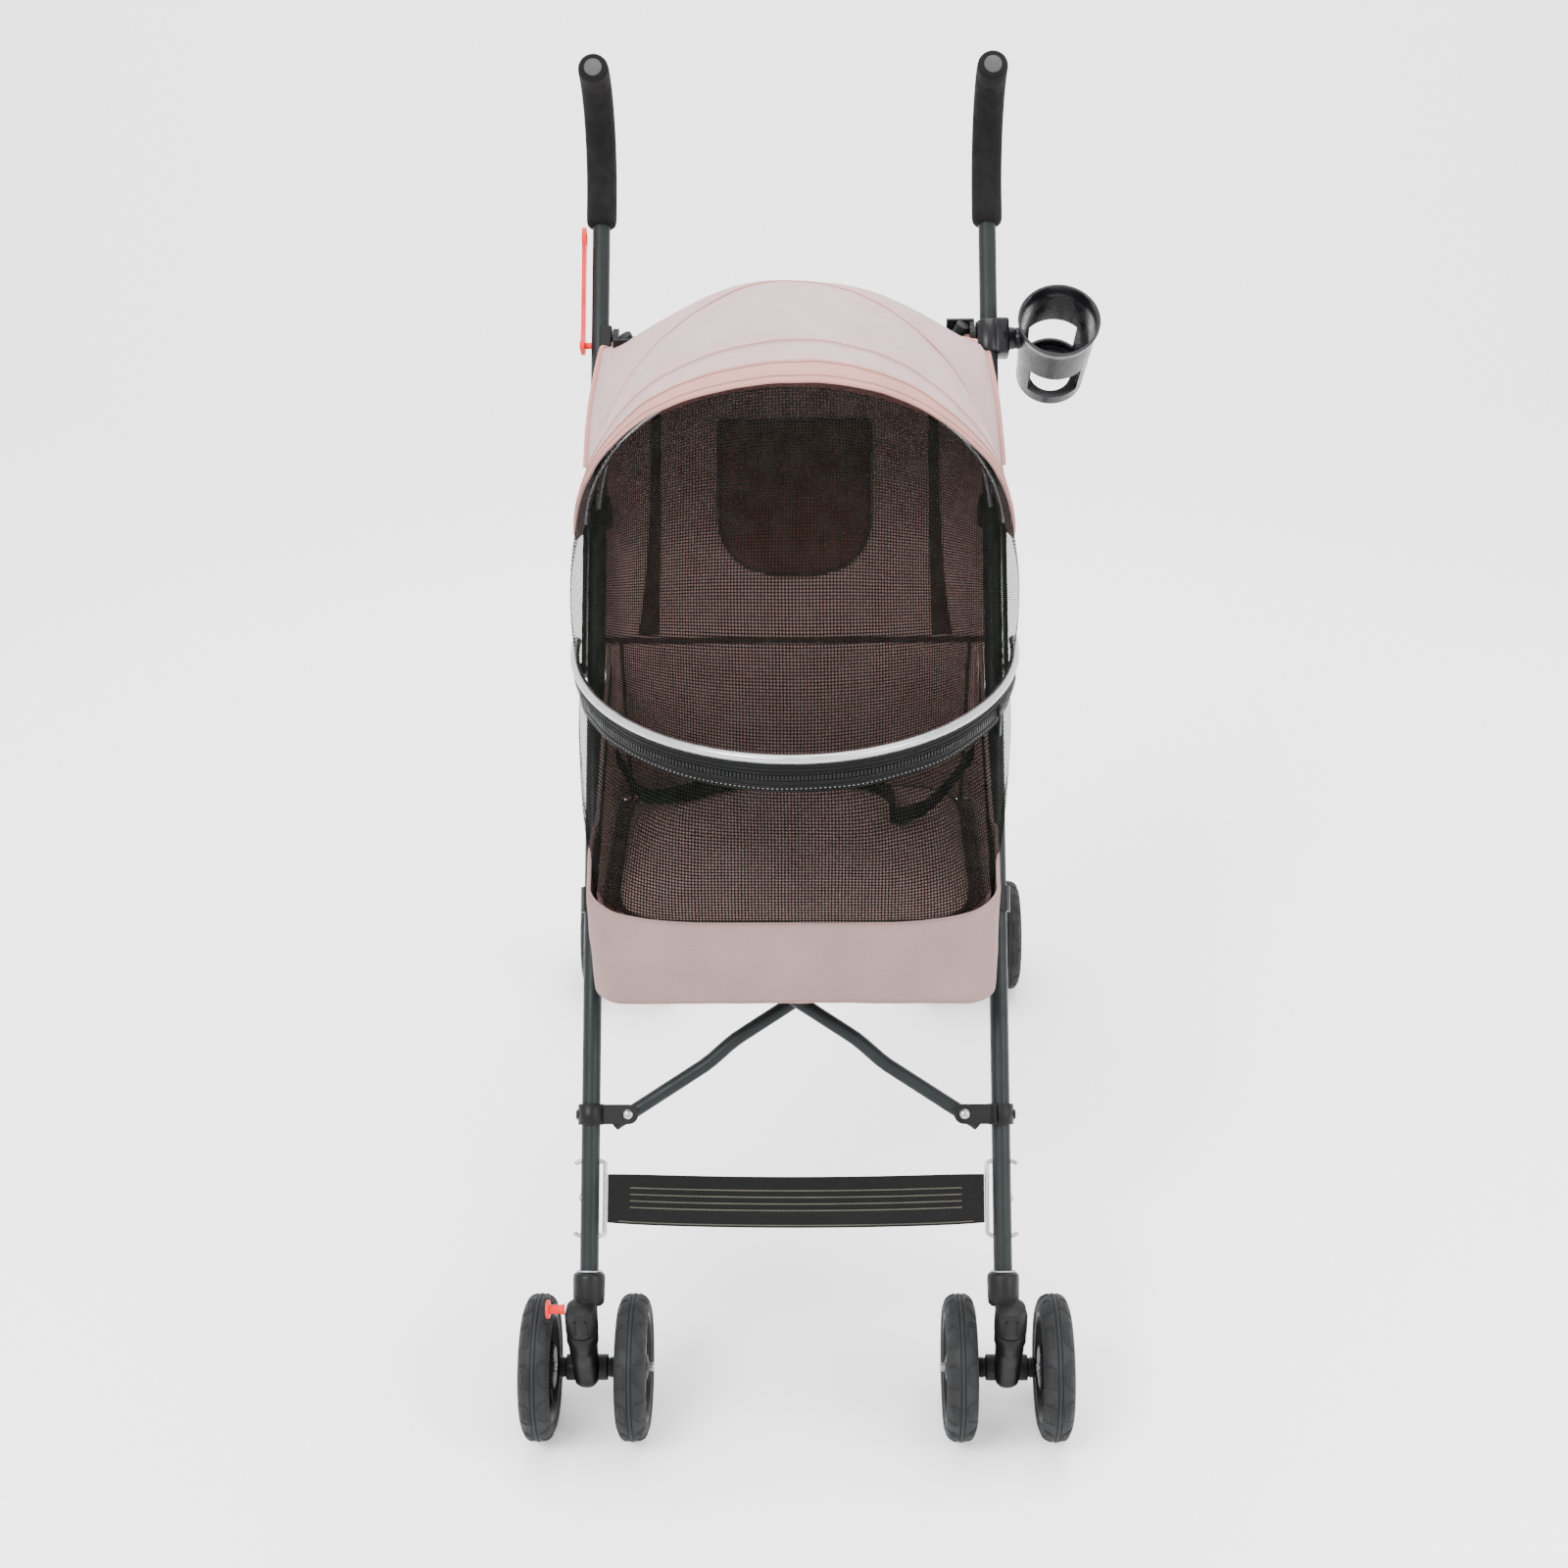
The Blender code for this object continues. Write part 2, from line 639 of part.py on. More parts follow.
def footrest():
    """Webbing strap between two wire loops that clip round the tubes."""
    strap_t, half_height = 0.074, 0.0215
    for side, label in ((-1, "left"), (1, "right")):
        rail_x = TUBE_X - 0.0128
        ends = [sided(on_tube(strap_t + step, 0, rail_x), side) for step in (-0.030, 0.030)]
        rail = rod(f"footrest_hook_{label}", ends[0], ends[1], 0.0019, 8)
        finish(rail, STEEL)
        for k, step in enumerate((-0.0285, 0.0285)):
            bm = bmesh.new()
            bmesh.ops.create_cone(bm, cap_ends=True, segments=16, radius1=0.0125,
                                  radius2=0.0125, depth=0.0036)
            ring = mesh_object(f"hook_ring_{label}_{k}", bm, sided(on_tube(strap_t + step), side))
            ring.rotation_euler = (TUBE_TILT, 0, 0)
            fuse(rail, ring)
        cut(rail, tube_hole(f"hook_hole_{label}", side, strap_t - 0.06, strap_t + 0.06))
    strap = box("footrest_strap", on_tube(strap_t, 0.0, 0.0),
                (2 * (TUBE_X - 0.0155), 0.004, 2 * half_height), TUBE_TILT)
    finish(strap, WEBBING, 0.001)


def storage_catch():
    """Red eyed strap on the left frame and the headed stud that it can hook over."""
    x, along, eye = -(TUBE_X + 0.0155), 0.8367, 0.9387
    pivot_at = on_tube(along, 0, x)
    strap = box("storage_latch", on_tube((along + eye) / 2, 0, x), (0.0036, 0.010, eye - along),
                TUBE_TILT, origin=pivot_at)
    finish(strap, RED_PLASTIC)
    across = Vector((0.0018, 0, 0))
    eye_at = on_tube(eye, 0, x)
    fuse(
        strap,
        rod("latch_eye", eye_at - across, eye_at + across, 0.0105, 18),
        rod("latch_root", pivot_at - across * 1.6, pivot_at + across, 0.0085, 16),
    )
    cut(strap, rod("latch_slot", eye_at - across * 4, eye_at + across * 4, 0.0062, 14))
    low = Vector((-(FRONT_X + 0.0144), SWIVEL_Y + 0.004, 0.1400))
    head_x = Vector((-(FRONT_X + 0.0265), low.y, low.z))
    stud = rod("storage_stud", low, head_x, 0.0042, 12)
    finish(stud, RED_PLASTIC)
    fuse(stud, rod("stud_head", head_x, head_x - Vector((0.0028, 0, 0)), 0.0080, 16))


CUP_HINGE_X = 0.200
CUP_CENTRE_X = 0.2340
CUP_AXIS = Vector((0, -cos(radians(48)), sin(radians(48))))


def cup_holder():
    """Clamp on the right tube and a tapered, open-bottomed cup holder that tilts on it."""
    along = 0.8415
    clamp = box("cup_clamp", on_tube(along, 0, TUBE_X + 0.0122), (0.0236, 0.022, 0.034), TUBE_TILT)
    finish(clamp, BLACK_PLASTIC, 0.001)
    cut(clamp, tube_hole("clamp_hole", 1, along - 0.05, along + 0.05))
    cut(clamp, box("clamp_trim", on_tube(along, 0, TUBE_X - 0.02 + 0.0004), (0.04, 0.05, 0.06),
                   TUBE_TILT))

    hinge = on_tube(along, 0, CUP_HINGE_X + 0.0006)
    ring_r, foot_r, wall = 0.0370, 0.0315, 0.0026
    middle = Vector((CUP_CENTRE_X + 0.0035, hinge.y, hinge.z))
    top, bottom = middle + CUP_AXIS * 0.030, middle - CUP_AXIS * 0.064
    cup = rod("cup_holder", top, bottom, ring_r - 0.002, 24, end_radius=foot_r)
    finish(cup, BLACK_PLASTIC)
    lip = rod("cup_lip", top, top - CUP_AXIS * 0.008, ring_r, 24)
    neck = rod("cup_neck", hinge, hinge + Vector((0.012, 0, 0)), 0.0095, 14)
    fuse(cup, lip, neck)
    inside = rod("cup_inside", top + CUP_AXIS * 0.01, bottom + CUP_AXIS * 0.006, ring_r - 0.0044,
                 24, end_radius=foot_r - wall)
    drain = rod("cup_drain", bottom + CUP_AXIS * 0.02, bottom - CUP_AXIS * 0.01, 0.019, 18)
    cut(cup, inside, drain)
    side_cut = box("cup_window", middle - CUP_AXIS * 0.034, (0.12, 0.024, 0.034),
                   radians(48) - pi / 2)
    cut(cup, side_cut)


def arch_point(shape, angle, inset=0.0, grow=0.0):
    """A point of a half-ellipse arch that stands on the hood's pivots at a tilt."""
    tilt, half, height = shape
    reach = (height - inset + grow) * sin(angle)
    return Vector((
        (half - inset + grow) * cos(angle),
        HOOD_PIVOT[0] + reach * cos(tilt),
        HOOD_PIVOT[1] + reach * sin(tilt),
    ))


def spread(count, low, high):
    return [low + (high - low) * k / (count - 1) for k in range(count)]


def mix(one, two, share):
    return one + (two - one) * share


def rim_point(angle, inset=0.0, drop=0.0):
    """A point of the cabin's half-ellipse rim, from the right tube round the front to the left."""
    return Vector((
        (RIM_HALF - inset) * cos(angle),
        RIM_Y - (RIM_REACH - inset) * sin(angle),
        mix(*RIM_Z, sin(angle)) - drop,
    ))


def hood():
    angles = spread(19, radians(10), radians(170))
    arches = [
        tuple(mix(a, b, share) for a, b in zip(HOOD_FRONT, HOOD_REAR))
        for share in spread(5, 0.0, 1.0)
    ]
    rings = [[arch_point(arch, angle) for angle in angles] for arch in arches]
    rings.append([Vector((0.156 * cos(a), 0.478, 0.768 + 0.052 * sin(a))) for a in angles])
    canopy = finish(loft("canopy", rings, 0.002, inward=-1.0), PINK_CLOTH)
    for side in (-1, 1):
        ends = [sided(on_tube(step), side) for step in (0.62, 0.90)]
        cut(canopy, rod(f"canopy_hole_{side}", ends[0], ends[1], TUBE_R + 0.0008, 16))
    for name, shape in (("hood_bow_front", HOOD_FRONT), ("hood_bow_rear", HOOD_REAR)):
        tilt, half, height = shape
        nudge = radians(3) * (1 if name == "hood_bow_rear" else -1)
        inner = (tilt + nudge, half - 0.0095, height - 0.0095)
        path = [arch_point(inner, angle) for angle in spread(23, radians(11), radians(169))]
        finish(wire(name, path, 0.0026, 2), STEEL)


def net_dome():
    angles = spread(19, radians(2), radians(178))
    tilt, half, height = HOOD_FRONT
    brow = (tilt + radians(1.2), half - 0.002, height - 0.002)
    rings = []
    for share in spread(6, 0.0, 1.0):
        bulge = 0.020 * 4 * share * (1 - share)
        ring = []
        for angle in angles:
            top = arch_point(brow, max(angle, radians(6)) if angle < 1 else min(angle, radians(174)))
            low = rim_point(angle, drop=-0.0052)
            out = Vector((0.1 * cos(angle), -0.7 * sin(angle), 0.5 * sin(angle)))
            ring.append(mix(top, low, share) + out * bulge)
        rings.append(ring)
    finish(loft("net_dome", rings, NET), DARK_NET)


def rim():
    path = [rim_point(angle) for angle in spread(25, 0.0, pi)]
    finish(wire("front_rim", path, 0.0035, 2), SILVER)


def wall_foot(angle):
    """The net wall's lower edge: a rounded rectangle just above the tub's front edge."""
    power = 0.35
    x = 0.186 * abs(cos(angle)) ** power * (1 if cos(angle) > 0 else -1)
    return Vector((x, 0.20 - 0.122 * sin(angle) ** power, 0.4745 + 0.014 * cos(angle) ** 2))


def net_wall():
    angles = spread(21, radians(4), radians(176))
    rings = []
    for share in spread(4, 0.0, 1.0):
        top = [rim_point(angle, inset=0.001, drop=0.0065) for angle in angles]
        rings.append([mix(t, wall_foot(a), share) for t, a in zip(top, angles)])
    finish(loft("net_wall", rings, NET), DARK_NET)


def tub():
    """Open-topped fabric tub: the cabin's floor and its pink lower walls."""
    bm = bmesh.new()
    bmesh.ops.create_cube(bm, size=1)
    lid = max(bm.faces, key=lambda face: face.calc_center_median().z)
    bmesh.ops.delete(bm, geom=[lid], context="FACES_ONLY")
    for vert in bm.verts:
        back, top = vert.co.y > 0, vert.co.z > 0
        height = TUB_RIM[1 if back else 0] if top else TUB_Z
        vert.co = (
            vert.co.x * 2 * (TUB_HALF if top else TUB_HALF - 0.003),
            TUB_BACK if back else TUB_FRONT,
            height,
        )
    shell = mesh_object("basket_tub", bm)
    solid = shell.modifiers.new("thickness", "SOLIDIFY")
    solid.thickness = FABRIC
    solid.offset = -1.0
    solid.use_even_offset = True
    finish(shell, PINK_CLOTH)
    skirt_top = TUB_Z + 0.002
    fuse(shell, box("tub_skirt", (0, TUB_FRONT + FABRIC / 2, (SKIRT_Z + skirt_top) / 2),
                    (2 * TUB_HALF - 0.006, FABRIC, skirt_top - SKIRT_Z)))


def cabin():
    tub()
    low, high = Vector((0, 0.3705, 0.6020)), Vector((0, 0.4745, 0.7630))
    size = (0.314, FABRIC, (high - low).length)
    wall = box("back_panel", (low + high) / 2, size, tilt_of(high - low))
    finish(wall, PINK_CLOTH)
    cushion = box("cushion", (0, (TUB_FRONT + TUB_BACK) / 2, TUB_Z + FABRIC + 0.0115),
                  (2 * TUB_HALF - 0.024, TUB_BACK - TUB_FRONT - 0.020, 0.021))
    finish(cushion, PINK_CLOTH, 0.008, 2)


def settle():
    """Moves the origin to the middle of the footprint, on the floor."""
    bpy.context.view_layer.update()
    depsgraph = bpy.context.evaluated_depsgraph_get()
    low, high = Vector((9, 9, 9)), Vector((-9, -9, -9))
    for obj in PARTS.objects:
        if obj.type not in {"MESH", "CURVE"}:
            continue
        shape = obj.evaluated_get(depsgraph).to_mesh()
        for vert in shape.vertices:
            spot = obj.matrix_world @ vert.co
            low = Vector(map(min, low, spot))
            high = Vector(map(max, high, spot))
        obj.evaluated_get(depsgraph).to_mesh_clear()
    ORIGIN.location = (-(low.x + high.x) / 2, -(low.y + high.y) / 2, -low.z)
    bpy.context.view_layer.update()


for SIDE, LABEL in ((-1, "left"), (1, "right")):
    main_tube(SIDE, LABEL)
    side_joint(SIDE, LABEL)
    upper_brace(SIDE, LABEL)
    lower_brace(SIDE, LABEL)
    rear_leg(SIDE, LABEL)
    rear_housing(SIDE, LABEL)
    rear_wheels(SIDE, LABEL)
    caster(SIDE, LABEL)
footrest()
storage_catch()
cup_holder()
hood()
net_dome()
rim()
net_wall()
cabin()
settle()
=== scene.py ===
"""Looks of the folding pet stroller: fabric cabin, net, tubes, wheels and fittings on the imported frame.

Shapes are built in stroller coordinates (Y = 0 at the front wheel centres, X = 0 on the middle plane,
floor at Z = 0) and moved into the frame's own coordinates as each mesh is made.
"""

from math import atan2, cos, exp, pi, radians, sin, sqrt

import bmesh
import bpy
from mathutils import Matrix, Vector, noise


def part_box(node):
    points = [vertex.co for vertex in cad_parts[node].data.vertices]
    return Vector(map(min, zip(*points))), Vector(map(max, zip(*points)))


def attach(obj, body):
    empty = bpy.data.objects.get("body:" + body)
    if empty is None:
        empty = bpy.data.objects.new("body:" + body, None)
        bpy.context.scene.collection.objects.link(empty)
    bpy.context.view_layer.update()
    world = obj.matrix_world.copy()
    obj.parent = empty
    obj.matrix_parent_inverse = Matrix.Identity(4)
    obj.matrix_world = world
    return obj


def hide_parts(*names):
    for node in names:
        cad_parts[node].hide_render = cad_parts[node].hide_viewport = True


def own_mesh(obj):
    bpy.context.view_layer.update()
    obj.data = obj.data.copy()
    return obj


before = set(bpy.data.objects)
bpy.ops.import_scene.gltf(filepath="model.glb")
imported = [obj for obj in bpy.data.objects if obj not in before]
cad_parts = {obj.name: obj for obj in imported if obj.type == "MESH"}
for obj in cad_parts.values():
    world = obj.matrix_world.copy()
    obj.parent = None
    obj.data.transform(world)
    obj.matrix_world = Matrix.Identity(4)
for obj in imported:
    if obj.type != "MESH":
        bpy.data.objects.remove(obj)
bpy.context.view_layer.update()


def middle(node):
    low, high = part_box(node)
    return (low + high) / 2


# Where stroller coordinates start in the frame
WHEEL_R = 0.0635
FRONT_WHEEL = middle("front_tyre_left_outer")
SHIFT = Vector((
    (middle("frame_tube_left").x + middle("frame_tube_right").x) / 2,
    FRONT_WHEEL.y,
    FRONT_WHEEL.z - WHEEL_R,
))

# Driving dimensions, the same as the frame's own
TUBE_X = 0.1765
TUBE_R = 0.008
TUBE_SLOPE = radians(54)
TUBE_FOOT = (0.003, 0.1505)
HANDLE_START = 0.975
HANDLE_BEND_R = 0.085
HANDLE_TURN = radians(96)
GRIP_LOW = 0.95
GRIP_R = 0.0138
FRONT_X = 0.182
REAR_X = 0.196
REAR_Y = 0.72
SWIVEL_Y = -0.018
PAIR_HALF = 0.0408
LOWER_T = 0.1452
LOWER_X = 0.1445
SLIDER_T = 0.331
ARM_R = 0.0062
ARM_OFFSET = 0.0074
HOOD_PIVOT = (0.385, 0.675)
HOOD_FRONT = (radians(129), 0.195, 0.2615)
HOOD_REAR = (radians(73.5), 0.187, 0.2285)
RIM_Y = 0.333
RIM_HALF = 0.1945
RIM_REACH = 0.255
RIM_Z = (0.6047, 0.616)
BAND_LOW = 0.392

SIDES = ((-1, "left"), (1, "right"))


def mix(one, two, share):
    return one + (two - one) * share


def spread(count, low, high):
    return [low + (high - low) * k / (count - 1) for k in range(count)]


def ease(share):
    return share * share * (3 - 2 * share)


def mm(*points):
    """Pairs given in millimetres, in metres."""
    return [(a / 1000, b / 1000) for a, b in points]


def clamped(value):
    return min(max(value, 0), 1)


def signed(value, power):
    """abs(value) to a power, with its sign kept."""
    return abs(value) ** power * (1 if value > 0 else -1)


def turns(count):
    """Angles all the way round, the last one a step before the first."""
    return [2 * pi * k / count for k in range(count)]


def spoke(angle):
    return Vector((0, sin(angle), cos(angle)))


# ---------------------------------------------------------------- materials


def nodes_of(name, colour, roughness, metallic=0.0):
    mat = bpy.data.materials.new(name)
    mat.use_nodes = True
    tree = mat.node_tree
    shader = tree.nodes["Principled BSDF"]
    shader.inputs["Base Color"].default_value = (*colour, 1)
    shader.inputs["Roughness"].default_value = roughness
    shader.inputs["Metallic"].default_value = metallic
    place = tree.nodes.new("ShaderNodeTexCoord")
    return mat, tree, shader, place


def grain(tree, place, scale, detail=3.0):
    tex = tree.nodes.new("ShaderNodeTexNoise")
    tex.inputs["Scale"].default_value = scale
    tex.inputs["Detail"].default_value = detail
    tree.links.new(place.outputs["Object"], tex.inputs["Vector"])
    return tex.outputs["Fac"]


def ranged(tree, value, low, high, start=0.35, end=0.65):
    node = tree.nodes.new("ShaderNodeMapRange")
    node.inputs["From Min"].default_value = start
    node.inputs["From Max"].default_value = end
    node.inputs["To Min"].default_value = low
    node.inputs["To Max"].default_value = high
    tree.links.new(value, node.inputs["Value"])
    return node.outputs["Result"]


def tinted(tree, factor, dark, light):
    node = tree.nodes.new("ShaderNodeMix")
    node.data_type = "RGBA"
    node.inputs["A"].default_value = (*dark, 1)
    node.inputs["B"].default_value = (*light, 1)
    tree.links.new(factor, node.inputs["Factor"])
    return node.outputs["Result"]


def bump(tree, height, strength, distance, below=None):
    node = tree.nodes.new("ShaderNodeBump")
    node.inputs["Strength"].default_value = strength
    node.inputs["Distance"].default_value = distance
    tree.links.new(height, node.inputs["Height"])
    if below is not None:
        tree.links.new(below, node.inputs["Normal"])
    return node.outputs["Normal"]


def rounded(tree, radius):
    node = tree.nodes.new("ShaderNodeBevel")
    node.samples = 6
    node.inputs["Radius"].default_value = radius
    return node.outputs["Normal"]


def darker(colour, share):
    return tuple(channel * share for channel in colour)


def solid_look(name, colour, roughness, metallic=0.0, coat=0.0, grain_scale=900, depth=0.0001,
               variation=0.12, rough_spread=0.08, round_edges=0.0008):
    """Painted or moulded surface: cloudy colour, uneven gloss, fine grain and softened edges."""
    mat, tree, shader, place = nodes_of(name, colour, roughness, metallic)
    cloud = grain(tree, place, 35, 4)
    tree.links.new(
        tinted(tree, ranged(tree, cloud, 0, 1), darker(colour, 1 - variation),
               darker(colour, 1 + variation)),
        shader.inputs["Base Color"],
    )
    smudge = grain(tree, place, 90, 5)
    tree.links.new(
        ranged(tree, smudge, roughness - rough_spread, roughness + rough_spread),
        shader.inputs["Roughness"],
    )
    edge = rounded(tree, round_edges)
    fine = grain(tree, place, grain_scale, 2)
    tree.links.new(bump(tree, fine, 0.35, depth, edge), shader.inputs["Normal"])
    shader.inputs["Specular IOR Level"].default_value = 0.16 if metallic < 0.5 else 0.5
    shader.inputs["Coat Weight"].default_value = coat
    shader.inputs["Coat Roughness"].default_value = 0.25
    return mat


def threads(tree, place, pitch):
    """Plain weave: two crossed sets of fine ribs, on UVs in metres."""
    parts = []
    for direction in ("X", "Y"):
        wave = tree.nodes.new("ShaderNodeTexWave")
        wave.bands_direction = direction
        wave.inputs["Scale"].default_value = pi / 10 / pitch
        wave.inputs["Distortion"].default_value = 0.6
        wave.inputs["Detail"].default_value = 1.0
        wave.inputs["Detail Scale"].default_value = 4.0
        tree.links.new(place.outputs["UV"], wave.inputs["Vector"])
        parts.append(wave.outputs["Fac"])
    joined = tree.nodes.new("ShaderNodeMath")
    joined.operation = "MULTIPLY"
    tree.links.new(parts[0], joined.inputs[0])
    tree.links.new(parts[1], joined.inputs[1])
    return joined.outputs["Value"]


def cloth_look(name, colour, pitch=0.0011, roughness=0.85, sheen=0.25, depth=0.00035, variation=0.07,
               crumple=0.0016):
    """Woven polyester: weave, mottling between threads, soft sheen and shallow crumples."""
    mat, tree, shader, place = nodes_of(name, colour, roughness)
    weave = threads(tree, place, pitch)
    blotch = grain(tree, place, 22, 5)
    base = tree.nodes.new("ShaderNodeMix")
    base.data_type = "RGBA"
    base.blend_type = "MULTIPLY"
    base.inputs["Factor"].default_value = 1.0
    tree.links.new(
        tinted(tree, ranged(tree, weave, 0, 1, 0.0, 1.0), darker(colour, 0.86),
               darker(colour, 1.06)),
        base.inputs["A"],
    )
    tree.links.new(
        tinted(tree, ranged(tree, blotch, 0, 1), (1 - variation,) * 3, (1 + variation / 2,) * 3),
        base.inputs["B"],
    )
    tree.links.new(base.outputs["Result"], shader.inputs["Base Color"])
    soft = bump(tree, grain(tree, place, 38, 3), 0.5, crumple)
    tree.links.new(bump(tree, weave, 0.7, depth, soft), shader.inputs["Normal"])
    shader.inputs["Specular IOR Level"].default_value = 0.15
    shader.inputs["Sheen Weight"].default_value = sheen
    shader.inputs["Sheen Roughness"].default_value = 0.45
    return mat


def net_look(name, colour, pitch=0.0027, hole=0.335):
    """Knitted net: round holes on a square grid, cut out by the shader's alpha."""
    mat, tree, shader, place = nodes_of(name, colour, 0.62)
    turn = tree.nodes.new("ShaderNodeMapping")
    turn.inputs["Scale"].default_value = (1 / pitch, 1 / pitch, 1)
    tree.links.new(place.outputs["UV"], turn.inputs["Vector"])
    cells = tree.nodes.new("ShaderNodeTexVoronoi")
    cells.voronoi_dimensions = "2D"
    cells.inputs["Scale"].default_value = 1.0
    cells.inputs["Randomness"].default_value = 0.0
    tree.links.new(turn.outputs["Vector"], cells.inputs["Vector"])
    far = cells.outputs["Distance"]
    tree.links.new(ranged(tree, far, 0, 1, hole - 0.03, hole + 0.03), shader.inputs["Alpha"])
    tree.links.new(bump(tree, far, 0.6, 0.0006), shader.inputs["Normal"])
    tree.links.new(
        tinted(tree, ranged(tree, grain(tree, place, 60, 3), 0, 1), darker(colour, 0.8),
               darker(colour, 1.25)),
        shader.inputs["Base Color"],
    )
    shader.inputs["Specular IOR Level"].default_value = 0.0
    return mat


PINK = (0.455, 0.315, 0.322)
LOOKS = {
    "frame": solid_look("frame_paint", (0.0095, 0.0120, 0.0125), 0.45, 0.25, 0.03, 1600, 0.00006),
    "foam": solid_look("grip_foam", (0.0036, 0.0034, 0.0034), 0.9, 0, 0, 1400, 0.0004, 0.2),
    "plastic": solid_look("black_plastic", (0.0040, 0.0040, 0.0043), 0.42, 0, 0, 1200, 0.0001),
    "cap": solid_look("grey_cap", (0.045, 0.045, 0.045), 0.6),
    "cup": solid_look("cup_plastic", (0.0045, 0.0045, 0.0055), 0.30, 0, 0.05, 700, 0.00005),
    "tyre": solid_look("tyre_foam", (0.0135, 0.0145, 0.0155), 0.72, 0, 0, 1000, 0.0002, 0.15),
    "hub": solid_look("wheel_hub", (0.0045, 0.0045, 0.005), 0.45),
    "steel": solid_look("zinc_steel", (0.32, 0.32, 0.33), 0.3, 1.0, 0, 500, 0.00003),
    "silver": solid_look("silver_rim", (0.40, 0.40, 0.41), 0.32, 0.85, 0, 700, 0.00002, 0.05),
    "red": solid_look("red_plastic", (0.58, 0.0045, 0.0025), 0.35, 0, 0.03, 500, 0.00004),
    "pink": cloth_look("pink_canvas", PINK, sheen=0.06),
    # The band's pink is the hood's canvas darkened for front faces that get less light: painted shade in
    # the colour.
    "band": cloth_look("pink_band_painted_shade", (0.240, 0.158, 0.147), 0.0012, sheen=0.06),
    "hem": cloth_look("pink_hem", (0.47, 0.235, 0.200), 0.0009, sheen=0.06),
    "lining": cloth_look("pink_lining", (0.30, 0.170, 0.158), 0.0014, 0.9, 0.06),
    "flap": cloth_look("flap_net", (0.085, 0.024, 0.019), 0.0022, 0.9, 0.03, 0.0006),
    "mat": cloth_look("floor_mat", (0.36, 0.215, 0.20), 0.0016, 0.92, 0.08, 0.0005),
    "edge": cloth_look("dark_binding", (0.042, 0.0145, 0.0125), 0.0010, 0.85, 0.03),
    "net": net_look("cabin_net", (0.0060, 0.0066, 0.0056)),
    "webbing": cloth_look("black_webbing", (0.0038, 0.0038, 0.0040), 0.0016, 0.8, 0.03, 0.0005),
    "zip": cloth_look("zip_tape", (0.0034, 0.0034, 0.0038), 0.0010, 0.75, 0.03),
    "thread": solid_look("grey_thread", (0.060, 0.056, 0.046), 0.8),
    "white": solid_look("white_thread", (0.40, 0.39, 0.37), 0.8),
}

# ---------------------------------------------------------------- mesh helpers


def piece(name, bm, look, angle=40):
    bmesh.ops.translate(bm, vec=SHIFT, verts=bm.verts)
    mesh = bpy.data.meshes.new(name)
    bm.to_mesh(mesh)
    bm.free()
    mesh.shade_smooth()
    mesh.set_sharp_from_angle(angle=radians(angle))
    mesh.materials.append(LOOKS[look])
    obj = bpy.data.objects.new(name, mesh)
    bpy.context.scene.collection.objects.link(obj)
    return obj


def solid(name, bm, look, angle=40):
    """A piece whose faces are turned outwards first."""
    bmesh.ops.recalc_face_normals(bm, faces=bm.faces)
    return piece(name, bm, look, angle)


def add_grid(bm, rows, closed=False):
    """Quads through rows of points, with UVs in metres."""
    layer = bm.loops.layers.uv.verify()
    spots = [[bm.verts.new(p) for p in row] for row in rows]
    count = len(rows[0])
    across = [[0.0] for _ in rows]
    for row, run in zip(rows, across):
        for a, b in zip(row, row[1:] + row[:1]):
            run.append(run[-1] + (Vector(b) - Vector(a)).length)
    half = [run[count - 1] / 2 for run in across]
    along = [0.0]
    mid = count // 2
    for a, b in zip(rows, rows[1:]):
        along.append(along[-1] + (Vector(b[mid]) - Vector(a[mid])).length)
    steps = count if closed else count - 1
    for j in range(len(rows) - 1):
        for k in range(steps):
            n = (k + 1) % count
            face = bm.faces.new((spots[j][k], spots[j][n], spots[j + 1][n], spots[j + 1][k]))
            corners = ((j, k), (j, k + 1), (j + 1, k + 1), (j + 1, k))
            for loop, (row, col) in zip(face.loops, corners):
                loop[layer].uv = (across[row][col] - half[row], along[row])
    return spots


def bridge(bm, one, two, chosen=None):
    """Quads between two closed rings, all the way round or only at the chosen steps."""
    for k in range(len(one)) if chosen is None else chosen:
        n = (k + 1) % len(one)
        bm.faces.new((one[k], one[n], two[n], two[k]))


def thicken(obj, thickness, offset=-1.0):
    mod = obj.modifiers.new("thickness", "SOLIDIFY")
    mod.thickness = thickness
    mod.offset = offset
    return obj


def sheet_piece(name, shape, wide, long, look, thickness=0.0, offset=-1.0):
    """A sheet whose points are shape(u, v), with u and v from 0 to 1."""
    bm = bmesh.new()
    add_grid(bm, [[shape(u, v) for u in spread(wide, 0, 1)] for v in spread(long, 0, 1)])
    obj = piece(name, bm, look, angle=80)
    return thicken(obj, thickness, offset) if thickness else obj


def frames_along(points):
    """A tangent and a normal at each point of a path, with no twist."""
    points = [Vector(p) for p in points]
    tangents = []
    for k in range(len(points)):
        a, b = points[max(k - 1, 0)], points[min(k + 1, len(points) - 1)]
        tangents.append((b - a).normalized())
    normal = tangents[0].orthogonal().normalized()
    made = []
    for tangent in tangents:
        normal = (normal - tangent * normal.dot(tangent)).normalized()
        made.append((tangent, normal))
    return made


def add_tube(bm, points, radius, sides=20, taper=None):
    """A round tube along points. taper gives a radius factor for each share of its length."""
    rings = []
    last = len(points) - 1
    for k, (point, (tangent, normal)) in enumerate(zip(points, frames_along(points))):
        other = tangent.cross(normal)
        r = radius * (taper(k / last) if taper else 1)
        rings.append([
            Vector(point) + r * (cos(a) * normal + sin(a) * other)
            for a in turns(sides)
        ])
    spots = add_grid(bm, rings, closed=True)
    bm.faces.new(spots[0][::-1])
    bm.faces.new(spots[-1])


def tube_piece(name, points, radius, look, sides=20, taper=None):
    bm = bmesh.new()
    add_tube(bm, points, radius, sides, taper)
    return solid(name, bm, look)


